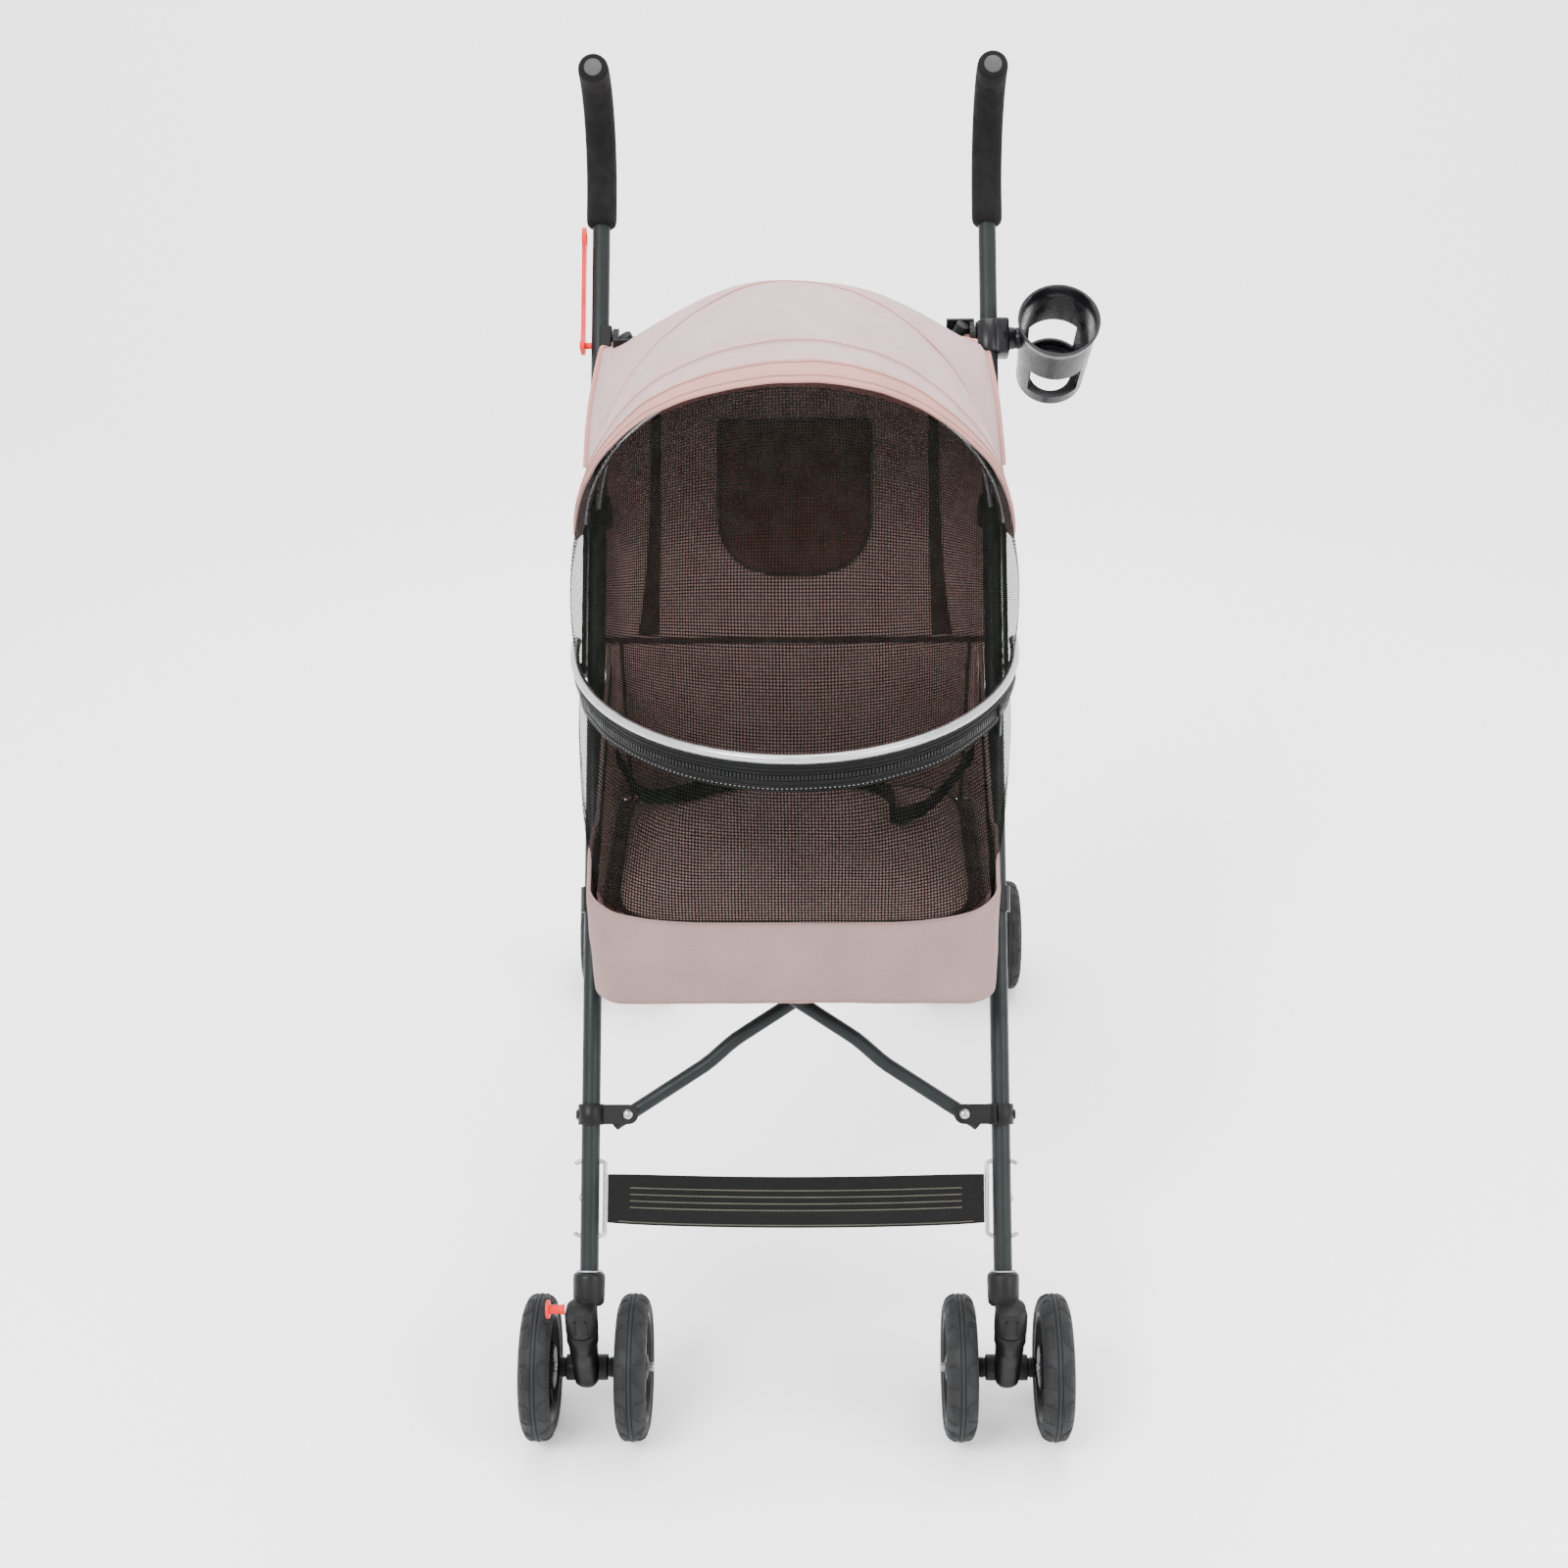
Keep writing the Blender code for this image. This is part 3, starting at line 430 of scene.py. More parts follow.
def add_turned(bm, profile, centre, axis, steps=48):
    """A solid turned about an axis from (radius, height) points, closed where the radius is 0."""
    axis = Vector(axis).normalized()
    side = axis.orthogonal().normalized()
    other = axis.cross(side)
    rings = []
    for r, h in profile:
        r = max(r, 0.00001)
        rings.append([
            Vector(centre) + axis * h + r * (cos(a) * side + sin(a) * other)
            for a in turns(steps)
        ])
    add_grid(bm, rings, closed=True)


def trim(name, look, slot, *lines):
    """Soft cords, seams or piping: points, radius and sides for each line."""
    bm = bmesh.new()
    for points, radius, sides in lines:
        add_tube(bm, points, radius, sides)
    soft(piece(name, bm, look), slot)


def turned_piece(name, profile, centre, axis, look, steps=48):
    bm = bmesh.new()
    add_turned(bm, profile, centre, axis, steps)
    bmesh.ops.remove_doubles(bm, verts=bm.verts, dist=0.00003)
    return solid(name, bm, look)


def add_block(bm, centre, size, turn=None, round_by=0.0015, segments=3, taper=1.0):
    """A block with rounded edges; taper narrows its top."""
    made = bmesh.ops.create_cube(bm, size=1)["verts"]
    for vert in made:
        share = taper if vert.co.z > 0 else 1.0
        vert.co = Vector((vert.co.x * size[0] * share, vert.co.y * size[1] * share,
                          vert.co.z * size[2]))
    edges = list({edge for vert in made for edge in vert.link_edges})
    if round_by:
        made = bmesh.ops.bevel(bm, geom=edges, offset=round_by, segments=segments, profile=0.5,
                               affect="EDGES")["verts"]
    if turn is not None:
        bmesh.ops.rotate(bm, matrix=turn, verts=made)
    bmesh.ops.translate(bm, vec=centre, verts=made)


def on_tube(along, out=0.0, x=TUBE_X):
    y = TUBE_FOOT[0] + along * cos(TUBE_SLOPE) - out * sin(TUBE_SLOPE)
    z = TUBE_FOOT[1] + along * sin(TUBE_SLOPE) + out * cos(TUBE_SLOPE)
    return Vector((x, y, z))


TUBE_UP = Vector((0, cos(TUBE_SLOPE), sin(TUBE_SLOPE)))
TUBE_OUT = Vector((0, -sin(TUBE_SLOPE), cos(TUBE_SLOPE)))
TUBE_TURN = Matrix.Rotation(TUBE_SLOPE - pi / 2, 3, "X")


def sided(point, side):
    return Vector((point[0] * side, point[1], point[2]))


def fixed(obj, slot, body, *nodes):
    """A rigid piece: its finish (not used), the body it rides on and the CAD nodes it stands for."""
    if nodes:
        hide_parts(*nodes)
    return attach(obj, body)


def soft(obj, slot, *nodes):
    """Soft pieces ride on the left side frame, each with a mesh of its own."""
    fixed(obj, slot, "left_side", *nodes)
    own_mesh(obj)
    return obj


# ---------------------------------------------------------------- frame tubes and grips


def handle_path(start, steps=20):
    points = [on_tube(t) for t in spread(6, start, HANDLE_START)]
    centre = on_tube(HANDLE_START, HANDLE_BEND_R)
    for k in range(1, steps + 1):
        reach = TUBE_SLOPE - pi / 2 + HANDLE_TURN * k / steps
        points.append(centre + HANDLE_BEND_R * spoke(pi / 2 - reach))
    return points


def side_frame(side, label):
    body = f"{label}_side"
    path = [sided(p, side) for p in handle_path(-0.004)]
    tube = tube_piece(f"main_tube_{label}", path, TUBE_R, "frame", 32)
    fixed(tube, "frame_paint", body, f"frame_tube_{label}")

    grip = [sided(p, side) for p in handle_path(GRIP_LOW)]
    swell = lambda share: 1.0 - 0.10 * exp(-share * 60) - 0.04 * exp(-(1 - share) * 50)
    foam = tube_piece(f"foam_grip_{label}", grip, GRIP_R, "foam", 40, swell)
    bevel = foam.modifiers.new("soft_ends", "BEVEL")
    bevel.width, bevel.segments, bevel.limit_method = 0.003, 4, "ANGLE"
    fixed(foam, "grip_foam", body, f"handle_grip_{label}")
    end = grip[-1]
    way = (grip[-1] - grip[-2]).normalized()
    cap = mm((0, 2.2), (4, 2.1), (4.8, 1.6), (6.4, 1.6), (7.6, 1), (8, 0), (8, -3), (0, -3))
    plug = turned_piece(f"tube_cap_{label}", cap, end, way, "cap")
    fixed(plug, "black_plastic", body)


def rivet(bm, at, way, radius=0.0046, height=0.0028, steps=24):
    profile = [(radius * sin(a), height * cos(a)) for a in spread(7, 0, pi / 2)]
    add_turned(bm, profile + [(radius, -0.001), (0, -0.001)], at, way, steps)


def rivets(side, label):
    """Bright domed rivet heads and bolts on the side frame."""
    bm = bmesh.new()
    out = side * ARM_OFFSET + ARM_R + 0.0008 + 0.003
    rivet(bm, sided(on_tube(LOWER_T, out + 0.0012, LOWER_X), side), TUBE_OUT)
    for along in (LOWER_T, 0.0745, 0.537):
        rivet(bm, sided(on_tube(along, 0, TUBE_X + TUBE_R), side), (side, 0, 0), 0.0032, 0.0018)
    heads = piece(f"rivets_{label}", bm, "steel")
    fixed(heads, "steel", f"{label}_side")

for SIDE, LABEL in SIDES:
    side_frame(SIDE, LABEL)
    rivets(SIDE, LABEL)

# ---------------------------------------------------------------- wheels

TYRE_HALF = 0.014
TREAD_COUNT = 11


def tyre_point(angle, s, lift):
    """A point of the tyre's roof-shaped section at s from -1 to 1, across its width."""
    drop = 0.0030 * abs(s) + 0.0075 * abs(s) ** 5
    r = WHEEL_R - 0.0006 - drop + lift
    x = (TYRE_HALF - 0.0004) * s
    return Vector((x, r * sin(angle), r * cos(angle)))


def wheel_tyre(name, centre):
    """Foam tyre with two grooves beside its crown and outlined tread blocks on both shoulders."""
    bm = bmesh.new()
    shoulder = [(s, 0) for s in (1, 0.97, 0.92, 0.84, 0.72, 0.58, 0.44, 0.30, 0.17)]
    groove = [(0.15, -0.0009), (0.11, -0.0009), (0.09, 0)]
    half = shoulder + groove
    profile = [(0.0480, -0.0128)]
    for s, lift in [(-s, lift) for s, lift in half] + [(0.0, 0.0001)] + half[::-1]:
        point = tyre_point(0, s, lift)
        profile.append((point.z, point.x))
    profile += mm((48, 12.8), (46.8, 11.8), (46.8, -11.8), (48, -12.8))
    add_turned(bm, profile, centre, (1, 0, 0), 120)
    step = 2 * pi / TREAD_COUNT
    for k in range(TREAD_COUNT):
        for way in (-1, 1):
            start = step * (k + (0.0 if way < 0 else 0.06))
            add_tread(bm, centre, start, step * 0.52, way)
            add_slot(bm, centre, start + step * 0.60, step * 0.05, way)
    return solid(name, bm, "tyre", angle=32)


def raised(bm, centre, line, width, height):
    """A low ridge along a line of (angle, s) points on the tyre."""
    rows = []
    for k, (angle, s) in enumerate(line):
        before, after = line[max(k - 1, 0)], line[min(k + 1, len(line) - 1)]
        da, ds = (after[0] - before[0]) * WHEEL_R, (after[1] - before[1]) * TYRE_HALF
        size = sqrt(da * da + ds * ds) or 1
        side_a, side_s = -ds / size * width / WHEEL_R, da / size * width / TYRE_HALF
        row = []
        for across, lift in ((-1, -0.0010), (-0.6, height), (0.6, height), (1, -0.0010)):
            row.append(Vector(centre) + tyre_point(angle + side_a * across, s + side_s * across, lift))
        rows.append(row)
    add_grid(bm, rows, closed=True)


def add_tread(bm, centre, start, span, way):
    """The ridge that outlines one tread block: a rectangle on one shoulder, skewed on the other."""
    skew = 0.22 * span if way > 0 else 0.0
    corners = [(start - skew, way * 0.90), (start + skew * 0.9, way * 0.34),
               (start + span, way * 0.34), (start + span + skew * 0.3, way * 0.90)]
    line = []
    for (a, s), (b, t) in zip(corners, corners[1:]):
        for share in spread(5, 0, 1):
            line.append((mix(a, b, share), mix(s, t, share)))
    raised(bm, centre, line, 0.0007, 0.0009)
    middle_a = start + span * 0.5
    pad = [(middle_a + step, way * 0.66) for step in spread(6, -span * 0.27, span * 0.27)]
    raised(bm, centre, pad, 0.0020, 0.0005)


def add_slot(bm, centre, start, span, way):
    line = [(start + span * way * share, way * mix(0.45, 0.88, share)) for share in spread(5, 0, 1)]
    raised(bm, centre, line, 0.0006, 0.0006)


def wheel_hub(name, centre, side):
    """Closed web with raised spokes on the outer face and a fluted barrel on the inner one."""
    bm = bmesh.new()
    at = Vector(centre)
    out = Vector((side, 0, 0))
    dish = mm((0, 12.4), (6, 12.4), (7.2, 11.6), (9.5, 11.6), (11.2, 10.4), (12, 4), (15, 1.8),
              (40, 1.8), (42.8, 5), (43.6, 10.5), (44.6, 11.6), (46.6, 12), (47.4, 11.2),
              (47.4, -11.2), (46.6, -12), (44.6, -11.6), (43.6, -10.5), (42.5, -4), (20, -3), (0, -3))
    add_turned(bm, dish, at, out, 80)
    for k in range(5):
        base = 2 * pi * k / 5
        for turn, wide in ((0.0, 1.0), (0.62, 0.55)):
            rows = []
            for share in spread(9, 0, 1):
                r = mix(0.0115, 0.0432, share)
                angle = base + turn + 0.30 * sin(share * pi) * (1 if turn else -0.4)
                half = wide * mix(0.0052, 0.0068, abs(2 * share - 1) ** 1.5) / r
                top = mix(0.0098, 0.0088, share)
                row = []
                for t, h in ((-half, 0.001), (-half * 0.8, top), (half * 0.8, top), (half, 0.001)):
                    row.append(at + out * h
                               + r * spoke(angle + t))
                rows.append(row)
            add_grid(bm, rows, closed=True)
    barrel = mm((17.2, -2), (17.2, -11.6), (16.4, -12.6), (0, -12.6))
    add_turned(bm, barrel, at, out, 60)
    for k in range(24):
        angle = 2 * pi * k / 24
        spot = at - out * 0.0074 + 0.0176 * spoke(angle)
        add_block(bm, spot, (0.0100, 0.0022, 0.0024), Matrix.Rotation(-angle, 3, "X"), 0.0004, 1)
    for k in range(5):
        angle = 2 * pi * (k + 0.5) / 5
        spot = at - out * 0.0050 + 0.0300 * spoke(angle)
        add_block(bm, spot, (0.0060, 0.0026, 0.0240), Matrix.Rotation(-angle, 3, "X"), 0.0006, 1)
    return solid(name, bm, "hub", angle=35)


def wheels():
    for side, label in SIDES:
        for k, way in (("inner", -side), ("outer", side)):
            for end, x, y in (("front", FRONT_X, 0), ("rear", REAR_X, REAR_Y)):
                at = Vector((x * side + way * PAIR_HALF, y, WHEEL_R))
                body = f"{end}_wheel_{label}_{k}"
                stands_for = (f"front_tyre_{label}_{k}" if end == "front" else body)
                fixed(wheel_tyre(f"{end}_tread_{label}_{k}", at), "tyre", body, stands_for)
                hub = wheel_hub(f"{end}_spokes_{label}_{k}", at, way)
                fixed(hub, "wheel_hub", body, *([f"front_hub_{label}_{k}"] if end == "front" else []))


wheels()

# ---------------------------------------------------------------- casters


def socket(side, label):
    """Moulded socket on the tube's foot with a shouldered swivel barrel."""
    bm = bmesh.new()
    foot = sided(on_tube(-0.016), side)
    sleeve = mm((0, 0), (10.5, 0), (12.8, 2.2), (13.4, 7.5), (13.8, 23), (13.4, 26.2), (11.8, 27.8),
                (9.6, 28), (9, 26.2), (0, 26.2))
    add_turned(bm, sleeve, foot, TUBE_UP, 40)
    swivel = Vector((FRONT_X * side, SWIVEL_Y, 0.1204))
    barrel = mm((0, 0), (11.8, 0), (14, 1.8), (14, 17.5), (13, 21), (12, 26.2), (8.6, 27.5), (0, 27.8))
    add_turned(bm, barrel, swivel, (0, 0, 1), 40)
    web = (foot + swivel + Vector((0, 0, 0.0145))) / 2
    add_block(bm, web, (0.0200, 0.0200, 0.0200), Matrix.Rotation(radians(-18), 3, "X"), 0.004, 4)
    for step in (-0.0052, 0.0052):
        add_block(bm, swivel + Vector((step, -0.0136, 0.0125)), (0.0018, 0.0022, 0.0150), None,
                  0.0006, 2)
    obj = solid(f"caster_collar_{label}", bm, "plastic")
    fixed(obj, "black_plastic", f"{label}_side", f"caster_socket_{label}")
    ring_at = sided(on_tube(0.0128), side)
    loop = [ring_at + 0.0102 * (cos(a) * Vector((1, 0, 0)) + sin(a) * TUBE_OUT)
            for a in spread(33, 0, 2 * pi)]
    ring = tube_piece(f"collar_ring_{label}", loop, 0.0009, "steel", 8)
    fixed(ring, "steel", f"{label}_side")


def fork(side, label):
    """Swivelling fork: shouldered neck, rounded nose over the axle, bosses and a thread-like axle."""
    bm = bmesh.new()
    top = Vector((FRONT_X * side, SWIVEL_Y, 0.1201))
    neck = mm((0, 0), (12.8, 0), (13.6, -1.4), (13.6, -10), (12.6, -13), (11.8, -20), (0, -21))
    add_turned(bm, neck, top, (0, 0, 1), 40)
    path, widths = [], []
    for share in spread(14, 0, 1):
        y = mix(SWIVEL_Y + 0.001, -0.0045, ease(share))
        path.append(Vector((FRONT_X * side, y, mix(0.112, 0.0475, share))))
        widths.append((mix(0.0125, 0.0100, share), mix(0.0120, 0.0125, share)))
    widths[-1] = (0.0035, 0.0040)
    widths[-2] = (0.0078, 0.0090)
    rows = []
    for spot, (wide, deep) in zip(path, widths):
        row = []
        for a in turns(28):
            c, s = cos(a), sin(a)
            row.append(spot + Vector((wide * signed(c, 0.72),
                                      deep * signed(s, 0.72), 0)))
        rows.append(row)
    spots = add_grid(bm, rows, closed=True)
    bm.faces.new(spots[0])
    bm.faces.new(spots[-1])
    axle = Vector((FRONT_X * side, 0, WHEEL_R))
    boss = mm((0, -25.5), (7.2, -25.5), (8, -24.5), (8.2, -18.5), (10.8, -18), (11.2, -16.5),
              (11.2, 16.5), (10.8, 18), (8.2, 18.5), (8, 24.5), (7.2, 25.5), (0, 25.5))
    add_turned(bm, boss, axle, (1, 0, 0), 36)
    for step in (-0.0208, -0.0226, 0.0208, 0.0226):
        ring = mm((8, -0.5), (9, -0.5), (9, 0.5), (8, 0.5))
        add_turned(bm, ring, axle + Vector((step, 0, 0)), (1, 0, 0), 24)
    obj = solid(f"caster_body_{label}", bm, "plastic")
    fixed(obj, "black_plastic", f"caster_{label}", f"caster_fork_{label}")


for SIDE, LABEL in SIDES:
    socket(SIDE, LABEL)
    fork(SIDE, LABEL)

# ---------------------------------------------------------------- footrest


def footrest():
    """Woven strap, padded a little, with thin lines along it, on two D-shaped wire loops."""
    strap_t, half_h, half_w = 0.074, 0.0215, TUBE_X - 0.0150

    def face(u, v, lift):
        x = mix(-half_w, half_w, u)
        across = mix(-half_h, half_h, v)
        squeeze = 1 - 0.05 * abs(2 * u - 1) ** 8
        puff = 0.0022 * (1 - abs(2 * v - 1) ** 4) * (1 - abs(2 * u - 1) ** 10)
        sag = -0.0035 * (1 - (2 * u - 1) ** 2)
        return on_tube(strap_t + across * squeeze + sag, lift * (0.0010 + puff), x)

    bm = bmesh.new()
    front = [[face(u, v, 1) for u in spread(60, 0, 1)] for v in spread(14, 0, 1)]
    back = [[face(u, v, -0.6) for u in spread(60, 0, 1)] for v in spread(14, 1, 0)]
    add_grid(bm, front + back + [front[0]])
    bmesh.ops.remove_doubles(bm, verts=bm.verts, dist=0.00001)
    loose = [edge for edge in bm.edges if edge.is_boundary]
    bmesh.ops.holes_fill(bm, edges=loose, sides=0)
    strap = solid("footrest_pad", bm, "webbing")
    soft(strap, "webbing", "footrest_strap")

    stripes = [([face(u, v, 1) + TUBE_OUT * 0.0003 for u in spread(60, 0.06, 0.94)], 0.0006, 6)
               for v in (0.34, 0.47, 0.60, 0.73)]
    seam = [face(u, 0.05, 1) + TUBE_OUT * 0.0002 for u in spread(60, 0.03, 0.97)]
    trim("footrest_lines", "thread", "webbing", *stripes, (seam, 0.0005, 6))

    for side, label in SIDES:
        rail_x = TUBE_X - 0.0128
        points = []
        for a in spread(15, 0, pi):
            points.append(on_tube(strap_t + 0.0285 + 0.004 * sin(a), 0, TUBE_X + 0.0128 * cos(a)))
        points += [on_tube(t, 0.0004, rail_x) for t in spread(9, strap_t + 0.024, strap_t - 0.024)]
        for a in spread(15, pi, 0):
            points.append(on_tube(strap_t - 0.0285 - 0.004 * sin(a), 0, TUBE_X + 0.0128 * cos(a)))
        loop = tube_piece(f"wire_loop_{label}", [sided(p, side) for p in points], 0.0018, "steel", 12)
        fixed(loop, "steel", f"{label}_side", f"footrest_hook_{label}")


footrest()

# ---------------------------------------------------------------- lower scissor brace


def lower_brace(side, label):
    """Round arm with a slight joggle and a plugged end, on a flat rounded bracket."""
    out = side * ARM_OFFSET
    start, far = on_tube(LOWER_T, out, LOWER_X), on_tube(SLIDER_T, out, -LOWER_X)
    way = (far - start).normalized()
    across = way.cross(TUBE_OUT).normalized()
    length = (far - start).length
    points = []
    for share in spread(40, -0.014 / length, 1 - 0.004 / length):
        joggle = 0.0045 * (ease(clamped((share - 0.22) / 0.12))
                           - ease(clamped((share - 0.62) / 0.14)))
        points.append(sided(start + way * length * share + across * joggle, side))
    arm = tube_piece(f"cross_arm_{label}", points, ARM_R, "frame", 28)
    fixed(arm, "frame_paint", f"lower_arm_{label}", f"lower_brace_arm_{label}")
    end = points[0]
    back = (points[0] - points[1]).normalized()
    cap = mm((0, 2.4), (3, 2.2), (3.6, 1.2), (5.8, 1.6), (6.4, 0.4), (6.4, -1.6), (0, -1.6))
    plug = turned_piece(f"arm_plug_{label}", cap, end, back, "plastic", 32)
    fixed(plug, "black_plastic", f"lower_arm_{label}")

    plate_out = out + ARM_R + 0.0008 + 0.0015
    bm = bmesh.new()
    add_bracket(bm, side, LOWER_T, plate_out, LOWER_X - 0.009, 0.0170)
    bolt = [sided(on_tube(LOWER_T, 0, x), side) for x in (TUBE_X + 0.0098, TUBE_X + 0.0128)]
    hexagon = mm((0, 0), (4.5, 0), (4.5, 2.4), (3.8, 3), (0, 3))
    add_turned(bm, hexagon, bolt[0], (side, 0, 0), 6)
    plate = solid(f"corner_bracket_{label}", bm, "plastic")
    fixed(plate, "black_plastic", f"{label}_side", f"lower_brace_bracket_{label}")


def add_bracket(bm, side, along, plate_out, inner, height):
    """Collar half-round the tube, a web and a flat plate with a round end."""
    collar = [(TUBE_R + 0.0003, -0.009), (0.0104, -0.009), (0.0112, -0.0080), (0.0112, 0.0080),
              (0.0104, 0.009), (TUBE_R + 0.0003, 0.009), (TUBE_R + 0.0003, -0.009)]
    add_turned(bm, collar, sided(on_tube(along), side), TUBE_UP, 32)
    outline = []
    round_r = height / 2
    for a in spread(13, pi / 2, 3 * pi / 2):
        outline.append((inner + round_r * (1 + cos(a)), round_r * sin(a)))
    outline += [(TUBE_X - 0.0050, -round_r), (TUBE_X - 0.0050, round_r)]
    faces = []
    for out in (plate_out - 0.0015, plate_out + 0.0015):
        faces.append([bm.verts.new(sided(on_tube(along + t, out, x), side)) for x, t in outline])
    bm.faces.new(faces[0])
    bm.faces.new(faces[1])
    bridge(bm, *faces)
    reach = abs(plate_out) + 0.003
    web = sided(on_tube(along, plate_out / 2, TUBE_X - 0.0085), side)
    add_block(bm, web, (0.0062, reach, height), TUBE_TURN @ Matrix.Rotation(pi / 2, 3, "X")
              @ Matrix.Rotation(-pi / 2, 3, "X"), 0.0012, 2)


for SIDE, LABEL in SIDES:
    lower_brace(SIDE, LABEL)

# ---------------------------------------------------------------- storage latch and stud


def storage_latch():
    x, along, eye = -(TUBE_X + 0.0155), 0.8367, 0.9387
    bm = bmesh.new()
    outline = []
    for a in spread(19, -0.30 * pi, 1.30 * pi):
        outline.append((eye + 0.0105 * sin(a), 0.0105 * cos(a)))
    outline.append((along + 0.013, -0.0050))
    for a in spread(15, -0.2 * pi, 1.2 * pi):
        outline.append((along - 0.0085 * sin(a), -0.0085 * cos(a)))
    outline.append((along + 0.013, 0.0050))
    hole = [(eye + 0.0062 * sin(a), 0.0062 * cos(a)) for a in turns(28)]
    rims = []
    for dx in (-0.0018, 0.0018):
        outer = [bm.verts.new(on_tube(t, o, x + dx)) for t, o in outline]
        inner = [bm.verts.new(on_tube(t, o, x + dx)) for t, o in hole]
        edges = []
        for ring in (outer, inner):
            edges += [bm.edges.new((a, b)) for a, b in zip(ring, ring[1:] + ring[:1])]
        bmesh.ops.triangle_fill(bm, edges=edges, use_beauty=True)
        rims.append((outer, inner))
    for one, two in zip(*rims):
        bridge(bm, one, two)
    strap = solid("red_strap", bm, "red")
    bevel = strap.modifiers.new("soft_edges", "BEVEL")
    bevel.width, bevel.segments, bevel.limit_method = 0.0008, 3, "ANGLE"
    fixed(strap, "red_plastic", "storage_latch", "storage_latch")
    bm = bmesh.new()
    pin = mm((0, 3.4), (4.4, 3), (5.2, 1.6), (5.2, -2), (3, -2.5), (3, -8), (0, -8))
    add_turned(bm, pin, on_tube(along, 0, x), (-1, 0, 0), 28)
    fixed(piece("latch_pin", bm, "red"), "red_plastic", "left_side")

    low = Vector((-(FRONT_X + 0.0144), SWIVEL_Y + 0.004, 0.1400))
    stud = mm((0, 0), (5, 0), (4.4, 1.2), (3.8, 4), (3.8, 11), (4.6, 12.2), (7.6, 12.6), (8, 13.4),
              (7.8, 15.2), (6, 15.8), (0, 15.8))
    knob = turned_piece("red_stud", stud, low, (-1, 0, 0), "red", 36)
    fixed(knob, "red_plastic", "left_side", "storage_stud")


storage_latch()

# ---------------------------------------------------------------- cup holder

CUP_T = 0.8415
WINDOW_START = 0.72  # sine of the angle at which the cup's side windows start
CUP_HINGE = on_tube(CUP_T, 0, 0.2006)
CUP_AXIS = Vector((0, -cos(radians(48)), sin(radians(48))))
CUP_MIDDLE = Vector((0.2375, CUP_HINGE.y, CUP_HINGE.z))


def cup_holder():
    """Tapered open cup with a rolled lip, two side windows, a drain hole and a neck."""
    up = CUP_AXIS
    side_way = Vector((1, 0, 0))
    front = up.cross(side_way)
    count = 64
    bottom, top = -0.0635, 0.0300

    def wall(angle, h, inset=0.0):
        share = (h - bottom) / (top - bottom)
        r = mix(0.0310, 0.0352, share) + 0.0018 * ease(clamped((h - 0.021) / 0.006)) - inset
        return CUP_MIDDLE + up * h + r * (cos(angle) * side_way + sin(angle) * front)

    levels = [bottom, -0.058, -0.0505, -0.045, -0.035, -0.025, -0.0175, -0.010, 0.004, 0.018, 0.0215,
              0.0245, 0.028, top]
    bm = bmesh.new()
    is_open = [abs(sin(2 * pi * (k + 0.5) / count)) > WINDOW_START for k in range(count)]
    window = [k for k in range(count) if is_open[k]]
    shut = [k for k in range(count) if not is_open[k]]
    low_sill, high_sill = 2, 6
    skins = []
    for inset in (0.0, 0.0024):
        rings = [[bm.verts.new(wall(a, h, inset)) for a in turns(count)] for h in levels]
        for j in range(len(levels) - 1):
            bridge(bm, rings[j], rings[j + 1], shut if low_sill <= j < high_sill else None)
        skins.append(rings)
    outer, inner = skins
    for j in (0, len(levels) - 1):
        bridge(bm, outer[j], inner[j])
    for j in (low_sill, high_sill):
        bridge(bm, outer[j], inner[j], window)
    for k in range(count):
        if is_open[k - 1] != is_open[k]:
            for j in range(low_sill, high_sill):
                bm.faces.new((outer[j][k], outer[j + 1][k], inner[j + 1][k], inner[j][k]))
    base = [CUP_MIDDLE + up * (bottom + 0.0005) + r * (cos(a) * side_way + sin(a) * front)
            for r in (0.0305, 0.0190) for a in turns(count)]
    lower = [bm.verts.new(p) for p in base]
    upper = [bm.verts.new(p + up * 0.003) for p in base]
    for ring in (lower, upper):
        bridge(bm, ring[:count], ring[count:])
    bridge(bm, lower[count:], upper[count:])
    neck = mm((0, 0), (9.2, 0), (9.8, 1.2), (9.8, 4), (8, 6), (8, 7), (0, 7))
    add_turned(bm, neck, CUP_HINGE, (1, 0, 0), 32)
    cup = solid("cup_shell", bm, "cup")
    fixed(cup, "cup_plastic", "cup_holder", "cup_holder")

    bm = bmesh.new()
    start = on_tube(CUP_T, 0, 0.2003)
    base_at = on_tube(CUP_T, 0, TUBE_X + 0.0160)
    stub = mm((0, 0), (9.2, 0), (10, -1.2), (10.4, -8), (12, -11), (0, -12))
    add_turned(bm, stub, start, (1, 0, 0), 32)
    add_block(bm, base_at - Vector((0.0045, 0, 0)), (0.0130, 0.0215, 0.0335), TUBE_TURN, 0.0025, 3)
    ring = [(TUBE_R + 0.0003, -0.0150), (0.0115, -0.0150), (0.0122, -0.0140), (0.0122, 0.0140),
            (0.0115, 0.0150), (TUBE_R + 0.0003, 0.0150), (TUBE_R + 0.0003, -0.0150)]
    add_turned(bm, ring, on_tube(CUP_T), TUBE_UP, 36)
    clamp = solid("holder_clamp", bm, "cup")
    fixed(clamp, "cup_plastic", "right_side", "cup_clamp")


cup_holder()

# ---------------------------------------------------------------- hood


def arch(shape, angle, grow=0.0):
    tilt, half, height = shape
    reach = (height + grow) * sin(angle)
    return Vector((
        (half + grow) * cos(angle),
        HOOD_PIVOT[0] + reach * cos(tilt),
        HOOD_PIVOT[1] + reach * sin(tilt),
    ))


